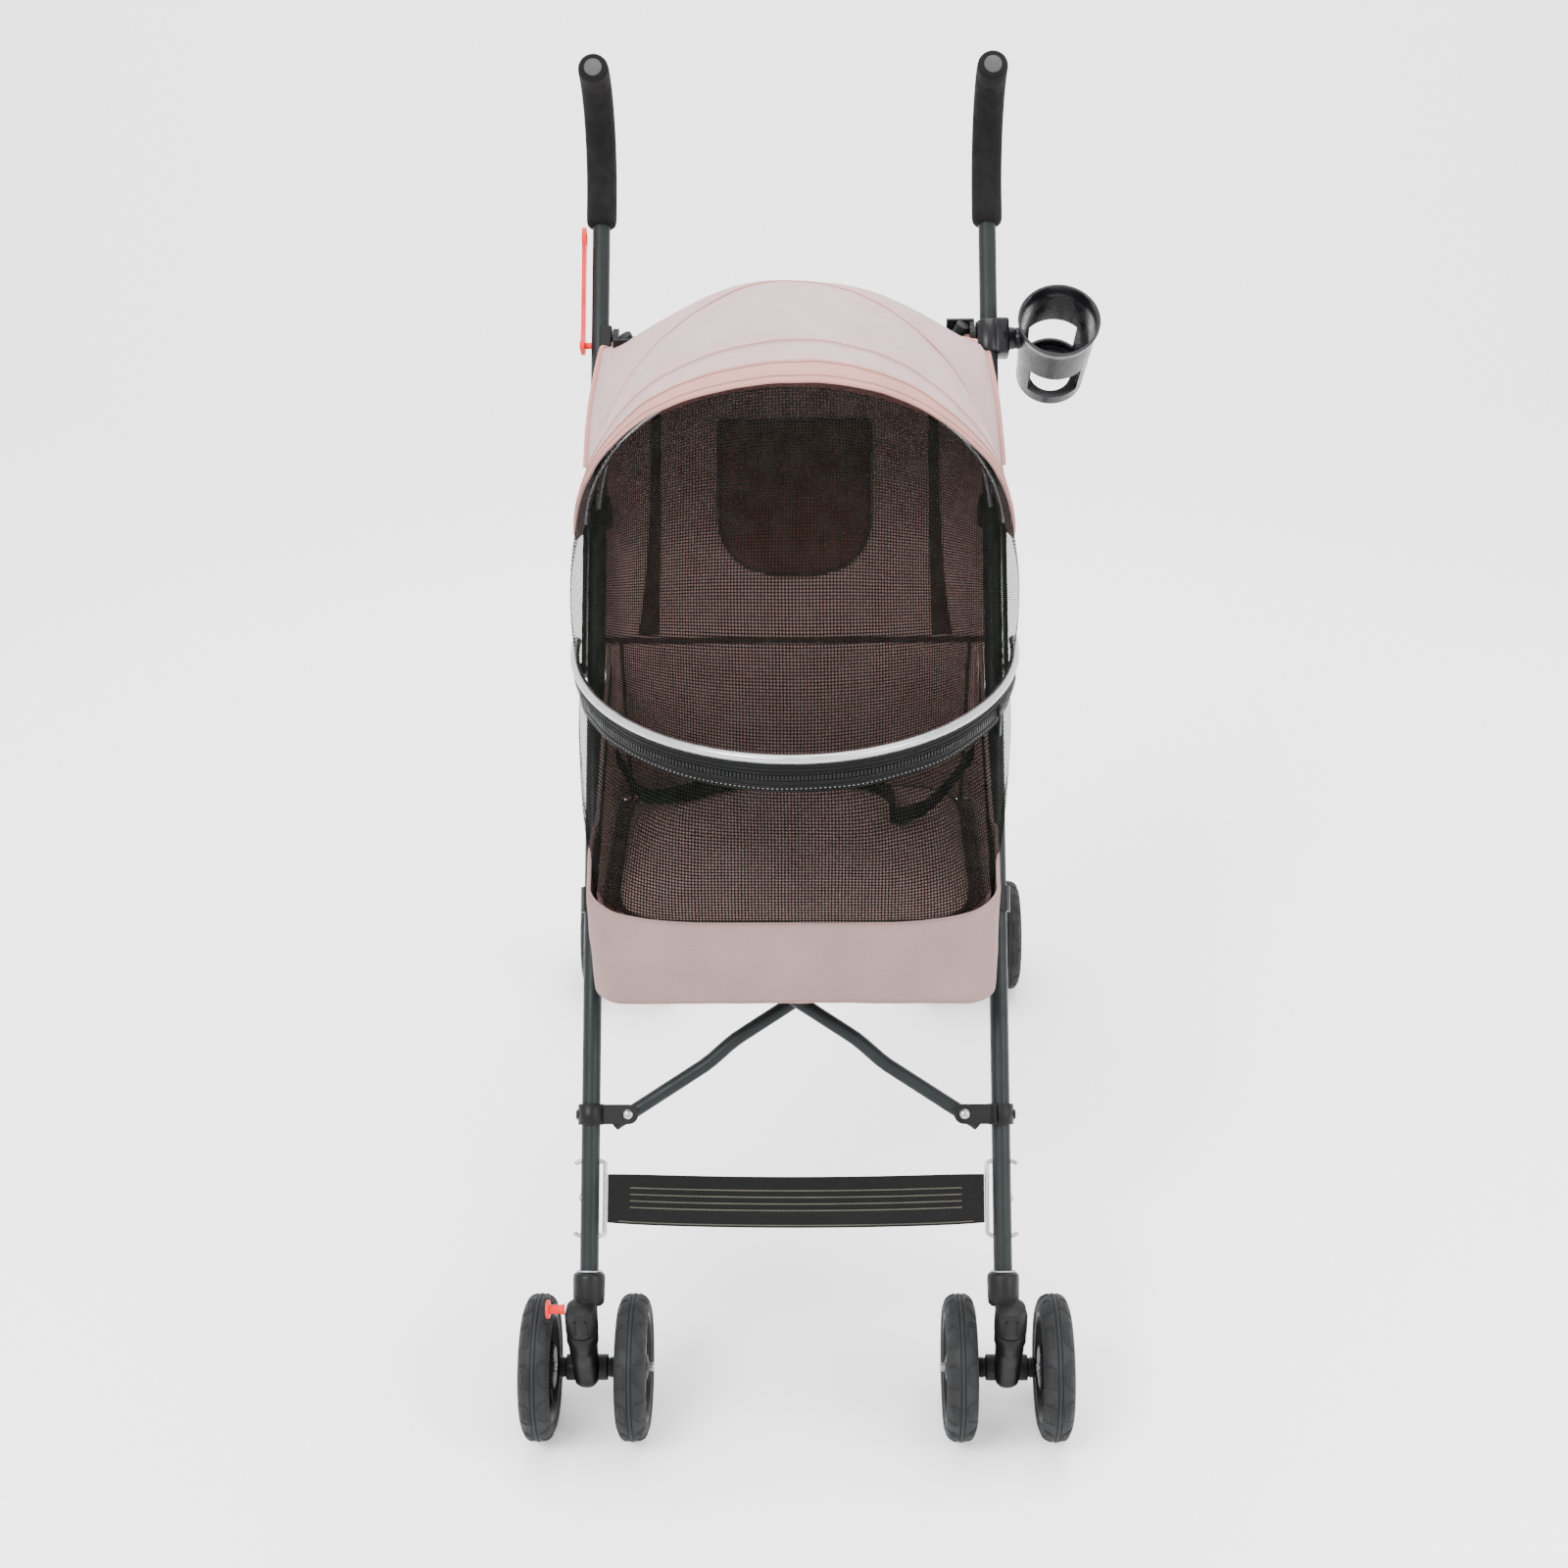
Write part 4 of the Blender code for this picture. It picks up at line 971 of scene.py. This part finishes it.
def hood_end(angle):
    """The hood's rear edge, which wraps the outer side of both tubes."""
    c = cos(angle)
    x = 0.1880 * signed(c, 0.55)
    z = mix(0.7060, 0.8290, min(1, (sin(angle) / 0.50)) ** 0.9)
    z += 0.010 * max(0, sin(angle) - 0.5)
    y = HOOD_PIVOT[0] + (z - 0.6900) / sin(TUBE_SLOPE) * cos(TUBE_SLOPE) + 0.012 * (1 - abs(c))
    return Vector((x, y, z))


LOW_ANGLE = radians(3)
BOW_SHARE = 0.60  # how far from the front hem the rear bow stands, of the hood's length


def hood_point(u, v, lift=0.0):
    angle = mix(LOW_ANGLE, pi - LOW_ANGLE, u)
    flare = 0.003 * (1 - sin(angle)) ** 3
    if v <= BOW_SHARE:
        share = v / BOW_SHARE
        shape = tuple(mix(a, b, share) for a, b in zip(HOOD_FRONT, HOOD_REAR))
        sag = -0.0035 * 4 * share * (1 - share) * sin(angle)
        point = arch(shape, angle, sag + lift)
        point.x += flare * (1 if point.x > 0 else -1) * share
    else:
        share = (v - BOW_SHARE) / (1 - BOW_SHARE)
        top = arch(HOOD_REAR, angle, lift)
        top.x += flare * (1 if top.x > 0 else -1)
        bottom = hood_end(angle)
        point = top.lerp(bottom, share)
        swell = 0.022 * 4 * share * (1 - share) * sin(angle) ** 2
        point += Vector((0, 0.6, 0.8)) * swell
    wave = noise.noise(Vector((point.x * 14, point.y * 9, point.z * 11)))
    fine = noise.noise(Vector((point.x * 45 + 9, point.y * 30, point.z * 40)))
    crease = (0.0026 * wave + 0.0008 * fine) * (0.35 + 0.65 * sin(angle))
    out = Vector((cos(angle), -0.25, sin(angle))).normalized()
    return point + out * crease


def hood():
    canopy = sheet_piece("hood_fabric", hood_point, 121, 71, "pink", 0.0012, 1.0)
    soft(canopy, "pink_canvas", "canopy")

    hem_share = 0.055
    hem = sheet_piece("hood_front_hem", lambda u, v: hood_point(u, mix(-0.004, hem_share, v), 0.0016),
                      121, 8, "hem", 0.0016, 1.0)
    soft(hem, "pink_canvas")

    seams = ((0.012, 0.0022), (0.048, 0.0022), (0.115, 0.0015), (BOW_SHARE - 0.055, 0.0015),
             (BOW_SHARE - 0.012, 0.0015))
    trim("hood_seams", "hem", "pink_canvas",
         *[([hood_point(u, v, lift) for u in spread(150, 0.01, 0.99)], 0.0005, 6)
           for v, lift in seams])
    path = [hood_point(u, 1.0) for u in spread(120, 0.02, 0.98)]
    trim("hood_rear_binding", "hem", "pink_canvas", (path, 0.0030, 12))


hood()

# ---------------------------------------------------------------- net, rim and zip


def rim_point(angle, inset=0.0, drop=0.0):
    return Vector((
        (RIM_HALF - inset) * cos(angle),
        RIM_Y - (RIM_REACH - inset) * sin(angle),
        mix(*RIM_Z, sin(angle)) - drop,
    ))


ZIP_TEETH = 190
ZIP_STITCHES = 150


def way_out(angle):
    return Vector((cos(angle), -sin(angle), 0))


def dome_point(u, v):
    angle = mix(radians(2), radians(178), u)
    top = arch((HOOD_FRONT[0] + radians(1.0), *HOOD_FRONT[1:]), angle, -0.0012)
    low = rim_point(angle, 0.0004, -0.0030)
    bulge = 4 * v * (1 - v)
    out = Vector((0.0050 * cos(angle), -0.0150 * sin(angle), 0.0100 * sin(angle))) * bulge
    ripple = noise.noise(Vector((angle * 3.2, v * 2.5, 4))) * 0.0022 * bulge
    return top.lerp(low, v) + out + Vector((0, -ripple, ripple))


def wall_foot(angle):
    """Top edge of the front band: a rounded rectangle, a little higher at its sides."""
    c, s = cos(angle), sin(angle)
    x = 0.1715 * signed(c, 0.30)
    return Vector((x, 0.215 - 0.1395 * s ** 0.40, 0.4685 + 0.022 * abs(c) ** 2.5))


# The zip band's drop below the rim and inset from it, from its top to its foot
BAND_STEPS = ((0.0030, 0.0004), (0.0120, 0.0002), (0.0205, 0.0012), (0.0300, 0.0028))


def wall_point(u, v):
    angle = mix(radians(3.5), radians(176.5), u)
    top = rim_point(angle, 0.0030, 0.0290)
    low = wall_foot(angle) + Vector((0, -0.0008, 0.0))
    belly = 4 * v * (1 - v)
    point = top.lerp(low, v)
    out = Vector((cos(angle) * 0.004, -0.006 * sin(angle), 0)) * belly
    fold = noise.noise(Vector((angle * 4.0, v * 1.6, 11))) * 0.0035 * belly
    return point + out + Vector((fold * cos(angle), -fold * sin(angle), 0))


def band_angle(u):
    return mix(radians(1.5), radians(178.5), u)


def band_point(u, v):
    """The zip band: three flat strips, each set in a little, under the rim."""
    angle = band_angle(u)
    k = min(int(v * 3), 2)
    (d0, i0), (d1, i1) = BAND_STEPS[k], BAND_STEPS[k + 1]
    share = v * 3 - k
    point = rim_point(angle, mix(i0, i1, share), mix(d0, d1, share))
    return point + way_out(angle) * noise.noise(Vector((angle * 5, v, 2))) * 0.0012


def nets():
    dome = sheet_piece("net_dome_sheet", dome_point, 97, 33, "net", 0)
    soft(dome, "mesh_net", "net_dome")
    wall = sheet_piece("net_wall_sheet", wall_point, 97, 21, "net", 0)
    soft(wall, "mesh_net", "net_wall")

    rim = [rim_point(a) for a in spread(90, -0.012, pi + 0.012)]
    tube = tube_piece("rim_tube", rim, 0.0041, "silver", 20)
    soft(tube, "silver_rim", "front_rim")

    band = sheet_piece("zip_band", band_point, 121, 13, "zip", 0.0012, 0)
    soft(band, "webbing")

    bm = bmesh.new()
    for u in spread(ZIP_TEETH, 0.5 / ZIP_TEETH, 1 - 0.5 / ZIP_TEETH):
        at, ahead = band_point(u, 0.50), band_point(min(u + 0.002, 1), 0.50)
        turn = Matrix.Rotation(atan2(ahead.y - at.y, ahead.x - at.x), 3, "Z")
        add_block(bm, at + way_out(band_angle(u)) * 0.0012, (0.0021, 0.0018, 0.0046), turn, 0)
    soft(piece("zip_teeth", bm, "plastic"), "black_plastic")
    cords = ((0.22, 0.0005), (0.36, 0.0008), (0.66, 0.0008), (0.82, 0.0005), (0.97, 0.0005))
    trim("zip_cords", "plastic", "black_plastic",
         *[([band_point(u, v) + way_out(band_angle(u)) * 0.0009
             for u in spread(150, 0.005, 0.995)], radius, 6) for v, radius in cords])
    starts = [0.02 + 0.96 * k / ZIP_STITCHES for k in range(ZIP_STITCHES)]
    trim("zip_stitches", "white", "webbing",
         *[([band_point(u + step, 0.90) + way_out(band_angle(u)) * 0.0010
             for step in (0, 0.0018)], 0.00028, 5) for u in starts])
    pull_angle = radians(28)
    at = rim_point(pull_angle, -0.002, 0.0165)
    bm = bmesh.new()
    turn = Matrix.Rotation(atan2(-cos(pull_angle), -sin(pull_angle)), 3, "Z")
    add_block(bm, at, (0.0090, 0.0042, 0.0075), turn, 0.0010, 2)
    add_block(bm, at + Vector((0.0006, -0.0022, -0.0130)), (0.0050, 0.0016, 0.0200), turn, 0.0007, 2)
    soft(piece("zip_slider", bm, "plastic"), "black_plastic")


nets()

# ---------------------------------------------------------------- fabric tub and interior

TUB_HALF = 0.1655
TUB_FRONT_Y = 0.0755
TUB_BACK_Y = 0.3450
CORNER_R = 0.026


def plan(u, inset=0.0):
    """The tub's outline from the right side's back, round the front, to the left side's back."""
    half, front, r = TUB_HALF - inset, TUB_FRONT_Y + inset, CORNER_R - inset
    side_run = TUB_BACK_Y - front - r
    front_run = 2 * (half - r)
    corner_run = r * pi / 2
    total = 2 * side_run + front_run + 2 * corner_run
    s = u * total
    if s > total / 2:
        point = plan(1 - u, inset)
        return Vector((-point.x, point.y, 0))
    if s <= side_run:
        return Vector((half, TUB_BACK_Y - s, 0))
    s -= side_run
    if s <= corner_run:
        a = s / r
        return Vector((half - r + r * cos(a), front + r - r * sin(a), 0))
    s -= corner_run
    return Vector((half - r - s, front, 0))


def band_edges(point):
    """Heights of the tub's lower and upper edge at a point of its outline."""
    back = clamped((point.y - 0.095) / 0.10)
    low = mix(BAND_LOW, 0.4375, ease(back))
    side = min(abs(point.x) / TUB_HALF, 1)
    rise = max(0, point.y - 0.105) * 0.46
    high = 0.4665 + 0.020 * side ** 5 + rise
    return low, high


def tub_point(u, v):
    point = plan(u)
    low, high = band_edges(point)
    z = mix(low, high, v)
    belly = 4 * v * (1 - v)
    out = Vector((point.x / TUB_HALF * 0.0006, -0.0030 if point.y < 0.1 else 0, 0)) * belly
    flare = 1 + 0.016 * v * (1 if point.y < 0.16 else 0.0)
    wave = noise.noise(Vector((point.x * 16, point.y * 12, z * 20))) * 0.0022
    fine = noise.noise(Vector((point.x * 55, point.y * 40, z * 50))) * 0.0006
    facing = Vector((point.x * 2, -0.3 if point.y < 0.11 else 0, 0)).normalized()
    limit = 0.3 if point.y > 0.16 else 1.0
    return Vector((point.x * flare, point.y, z)) + out + facing * (wave + fine) * limit


BACK_HALF = 0.1750
WALL_TOP = 1.135


def interior_back(u, v, lift=0.0):
    """The back wall from the lower panel's edge up to the hood's rear edge."""
    low, high = Vector((0, 0.3560, 0.5960)), Vector((0, 0.4860, 0.8050))
    x = mix(-BACK_HALF, BACK_HALF, u)
    point = low.lerp(high, v)
    out = Vector((0, -(high - low).z, (high - low).y)).normalized()
    sag = -0.0060 * (1 - (2 * u - 1) ** 2) * 4 * v * (1 - v)
    wave = noise.noise(Vector((x * 12, v * 3, 6))) * 0.0020
    return Vector((x, point.y, point.z)) + out * (sag + wave + lift)


def lower_back(u, v, lift=0.0):
    """The tub's back, from the floor up to the edge of the lower panel."""
    x = mix(-0.1668, 0.1668, u) * mix(1.0, 1.035, v)
    y = mix(0.3455, 0.3560, v) - 0.004 * (1 - (2 * u - 1) ** 4) * 4 * v * (1 - v)
    wave = noise.noise(Vector((x * 14, v * 2, 21))) * 0.0014
    return Vector((x, y + wave - lift, mix(0.4400, 0.5965, v)))


def tub():
    # The band's colour is the canvas pink with painted shade for its front faces.
    shell = sheet_piece("front_band", tub_point, 151, 17, "band", 0.0022, -1.0)
    soft(shell, "pink_canvas", "basket_tub")

    edge = [tub_point(u, 1.0) + Vector((0, 0, 0.0004)) for u in spread(160, 0, 1)]
    trim("band_upper_hem", "band", "pink_canvas", (edge, 0.0014, 8))

    def hem_point(u, v):
        """A binding folded round the band's lower edge, 9 mm high outside."""
        point, above = tub_point(u, 0.0), tub_point(u, 0.12)
        way = Vector((point.x * 2, -0.3 if point.y < 0.11 else 0, 0)).normalized()
        ripple = noise.noise(Vector((u * 70, v, 8))) * 0.0007
        if v < 0.3:
            a = mix(pi, 0, v / 0.3)
            return (point + way * (-0.0005 - 0.0018 * cos(a) + ripple)
                    + Vector((0, 0, -0.0016 * sin(a))))
        return point.lerp(above, (v - 0.3) / 0.7) + way * (0.0013 + ripple)

    hem = sheet_piece("band_lower_hem", hem_point, 161, 11, "hem", 0.0007, 1.0)
    soft(hem, "pink_canvas")
    trim("band_seams", "hem", "pink_canvas",
         *[([tub_point(u, v) + Vector((0, -0.0005, 0)) for u in spread(160, 0.30, 0.70)], 0.0005, 6)
           for v in (0.085, 0.93)])

    base = sheet_piece(
        "tub_base",
        lambda u, v: Vector((mix(-0.1646, 0.1646, u), mix(0.080, 0.3435, v), 0.4395)),
        21, 17, "lining", 0.0016, 0,
    )
    soft(base, "pink_canvas")

    sides = sheet_piece("tub_lining", tub_lining, 121, 9, "lining", 0)
    soft(sides, "pink_canvas")

    back = sheet_piece("lower_back_panel", lower_back, 41, 21, "lining", 0.0016, 0)
    soft(back, "pink_canvas")
    wall = sheet_piece("back_wall", lambda u, v: interior_back(u, v * WALL_TOP), 61, 35, "lining",
                       0.0016, 0)
    soft(wall, "pink_canvas", "back_panel")


def tub_lining(u, v):
    """The lining strip inside the front band."""
    point = plan(u, 0.0035)
    low, high = band_edges(point)
    return Vector((point.x, point.y, mix(0.4400, high - 0.002, v)))


def interior_details():
    """U-shaped window flap, dark bindings, panel edge, floor mat, tether straps and clip."""
    bm = bmesh.new()
    rows = []
    for v in spread(21, 0, 1):
        z_share = mix(0.245, 0.815, v)
        corner, half = 0.050, 0.0680
        from_low = v * 0.140
        if from_low < corner:
            half = half - corner + sqrt(max(corner ** 2 - (corner - from_low) ** 2, 0))
            half = max(half, 0.0182)
        rows.append([interior_back(0.5 + x / (2 * BACK_HALF), z_share, 0.0022)
                     for x in spread(25, -half, half)])
    add_grid(bm, rows)
    flap = piece("window_flap", bm, "flap")
    soft(flap, "mesh_net")
    rim_line = [row[0] for row in rows[::-1]] + list(rows[0][1:-1]) + [row[-1] for row in rows]
    trim("flap_binding", "edge", "webbing",
         *[([p + Vector((0, -0.001, 0)) for p in line], radius, 8)
           for line, radius in ((rim_line, 0.0016), (rows[-1], 0.0020))])

    for side, label in SIDES:
        def strip(u, v, side=side):
            centre = 0.5 + side * (0.126 + 0.006 * (1 - v) ** 3) / (2 * BACK_HALF)
            half = (0.0045 + 0.0045 * (1 - v) ** 3) / (2 * BACK_HALF)
            return interior_back(centre + mix(-half, half, u), mix(0.02, 0.84, v), 0.0018)

        obj = sheet_piece(f"back_strip_{label}", strip, 7, 41, "edge", 0.0010, 0)
        soft(obj, "webbing")

    trim("panel_edge", "edge", "pink_canvas",
         ([lower_back(u, 1.0, 0.001) for u in spread(60, 0.0, 1.0)], 0.0026, 10),
         *[([lower_back(u, v, 0.0012) for v in spread(20, 0.0, 1.0)], 0.0016, 8)
           for u in (0.045, 0.955)])

    floor_mat()
    for name, points in (
        ("tether_left", ((-0.158, 0.275, 0.520), (-0.135, 0.268, 0.486), (-0.100, 0.285, 0.478),
                         (-0.065, 0.305, 0.4775), (-0.035, 0.312, 0.477), (-0.020, 0.312, 0.477))),
        ("tether_right", ((0.028, 0.312, 0.477), (0.048, 0.306, 0.479), (0.072, 0.298, 0.478),
                          (0.088, 0.270, 0.478), (0.084, 0.246, 0.478), (0.098, 0.240, 0.479),
                          (0.125, 0.262, 0.484), (0.158, 0.280, 0.520))),
    ):
        tether(name, points)
    loop = [Vector((0.005 + 0.022 * cos(a), 0.312 + 0.006 * sin(a), 0.4793))
            for a in spread(33, 0, 2 * pi)]
    trim("tether_clip", "steel", "steel", (loop, 0.0014, 8))


def tether(name, points):
    """Black webbing, 17 mm wide, that rests on the mat and is sewn to the sides."""
    line = smooth_line([Vector(p) for p in points], 60)
    bm = bmesh.new()
    rows = []
    for k, point in enumerate(line):
        share = k / (len(line) - 1)
        tilt = 0.95 + 0.35 * sin(share * 9)
        up = Vector((0, 0.35 * cos(tilt * 2), sin(tilt))).normalized()
        rows.append([point + up * h for h in (-0.0085, -0.004, 0.0, 0.004, 0.0085)])
    add_grid(bm, rows)
    strap = thicken(piece(name, bm, "webbing"), 0.0014, 0)
    soft(strap, "webbing")


def smooth_line(points, count):
    """A Catmull-Rom line through the points."""
    ends = [points[0] * 2 - points[1]] + points + [points[-1] * 2 - points[-2]]
    line = []
    spans = len(points) - 1
    for share in spread(count, 0, spans):
        k = min(int(share), spans - 1)
        t = share - k
        a, b, c, d = ends[k:k + 4]
        line.append(0.5 * (2 * b + (c - a) * t + (2 * a - 5 * b + 4 * c - d) * t ** 2
                           + (3 * b - a - 3 * c + d) * t ** 3))
    return line


def floor_mat():
    """Padded mat with rounded corners, quilted lightly, with piping round its edge."""
    half_x, low_y, high_y = 0.1500, 0.0900, 0.3340
    centre = Vector((0, (low_y + high_y) / 2, 0))
    half_y = (high_y - low_y) / 2

    def outline(a, shrink):
        c, s = cos(a), sin(a)
        x = (half_x - shrink) * signed(c, 0.30)
        y = (half_y - shrink) * signed(s, 0.30)
        return centre + Vector((x, y, 0))

    angles = turns(144)
    rows = []
    for shrink, z in ((0.002, 0.4440), (0.0, 0.4520), (0.001, 0.4580), (0.006, 0.4622),
                      (0.020, 0.4640), (0.045, 0.4644), (0.075, 0.4646), (0.100, 0.4648),
                      (0.116, 0.4648)):
        row = []
        for a in angles:
            p = outline(a, shrink)
            quilt = 0.0010 * sin(p.x * 62) * sin((p.y - 0.09) * 62) if shrink > 0.01 else 0
            wave = noise.noise(Vector((p.x * 15, p.y * 15, 3))) * (0.0018 if shrink > 0.01 else 0)
            row.append(Vector((p.x, p.y, z + quilt + wave)))
        rows.append(row)
    bm = bmesh.new()
    spots = add_grid(bm, rows, closed=True)
    bm.faces.new(spots[0][::-1])
    ring = spots[-1]
    top = bm.verts.new(sum((vert.co for vert in ring), Vector()) / len(ring))
    for k in range(len(ring)):
        bm.faces.new((ring[k], ring[(k + 1) % len(ring)], top))
    mat = solid("floor_mat", bm, "mat")
    soft(mat, "cushion_plush", "cushion")
    pipe = [outline(a, 0.0015) + Vector((0, 0, 0.4585)) for a in spread(145, 0, 2 * pi)]
    trim("mat_piping", "edge", "cushion_plush", (pipe, 0.0022, 8))


tub()
interior_details()

# ---------------------------------------------------------------- bows and remaining CAD parts


BOW_INSET = 0.0095
BOW_R = 0.0026


def bows():
    for name, shape, nudge in (("hood_bow_front", HOOD_FRONT, -radians(3)),
                               ("hood_bow_rear", HOOD_REAR, radians(3))):
        tilt, half, height = shape
        inner = (tilt + nudge, half - BOW_INSET, height - BOW_INSET)
        path = [arch(inner, a) for a in spread(60, radians(9), radians(171))]
        soft(tube_piece(f"{name}_wire", path, BOW_R, "steel", 12), "steel", name)


bows()

CAD_LOOKS = (
    (("rear_leg", "upper_brace_arm"), "frame"),
    (("front_axle",), "steel"),
)
for node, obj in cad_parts.items():
    if obj.hide_render:
        continue
    chosen = "plastic"
    for starts, look in CAD_LOOKS:
        if node.startswith(starts):
            chosen = look
    obj.data.materials.clear()
    obj.data.materials.append(LOOKS[chosen])

# ---------------------------------------------------------------- stage, light and camera


def stage():
    """A floor that curves up into a wall well behind the object."""
    bm = bmesh.new()
    floor_size, wall_start, wall_r = 6.0, 2.4, 1.2
    profile = [(-floor_size, 0.0), (wall_start, 0.0)]
    for a in spread(13, -pi / 2, 0)[1:]:
        profile.append((wall_start + wall_r * cos(a), wall_r + wall_r * sin(a)))
    profile.append((wall_start + wall_r, floor_size))
    rows = [[Vector((x, y, z)) for x in (-floor_size, floor_size)] for y, z in profile]
    add_grid(bm, rows)
    bmesh.ops.recalc_face_normals(bm, faces=bm.faces)
    mesh = bpy.data.meshes.new("studio_floor")
    bm.to_mesh(mesh)
    bm.free()
    mesh.shade_smooth()
    mesh.materials.append(nodes_of("studio_paper", (0.97, 0.97, 0.97), 0.95)[0])
    backdrop = bpy.data.objects.new("studio_floor", mesh)
    bpy.context.scene.collection.objects.link(backdrop)


SKY_STRENGTH = 2.3


def lamp(name, place, aim, size, power):
    data = bpy.data.lights.new(name, "AREA")
    data.shape = "RECTANGLE"
    data.size, data.size_y = size
    data.energy = power
    obj = bpy.data.objects.new(name, data)
    obj.location = Vector(place)
    obj.rotation_euler = (Vector(aim) - Vector(place)).to_track_quat("-Z", "Y").to_euler()
    bpy.context.scene.collection.objects.link(obj)


def lights():
    world = bpy.data.worlds.new("studio")
    bpy.context.scene.world = world
    world.use_nodes = True
    sky = world.node_tree.nodes["Background"].inputs
    sky["Color"].default_value = (1.0, 1.0, 1.0, 1)
    sky["Strength"].default_value = SKY_STRENGTH
    lamp("key", (-1.6, -2.2, 2.9), (0, 0, 0.55), (1.6, 1.2), 150)
    lamp("fill", (2.2, -1.6, 1.8), (0, 0, 0.5), (1.4, 1.4), 62)
    lamp("top", (0.2, 0.6, 3.2), (0, 0, 0.5), (2.0, 2.0), 100)


PITCH = radians(27.45)
YAW = radians(1.0)
ROLL = radians(-0.65)
LENS_MM = 50.8
SENSOR_MM = 36
CAMERA_AT = Vector((0.0205, -1.473, 1.400)) + SHIFT


def camera():
    data = bpy.data.cameras.new("camera")
    data.lens = LENS_MM
    data.sensor_width = SENSOR_MM
    obj = bpy.data.objects.new("camera", data)
    turn = (Matrix.Rotation(YAW, 4, "Z") @ Matrix.Rotation(pi / 2 - PITCH, 4, "X")
            @ Matrix.Rotation(ROLL, 4, "Z"))
    obj.matrix_world = Matrix.Translation(CAMERA_AT) @ turn
    bpy.context.scene.collection.objects.link(obj)
    bpy.context.scene.camera = obj


stage()
lights()
camera()
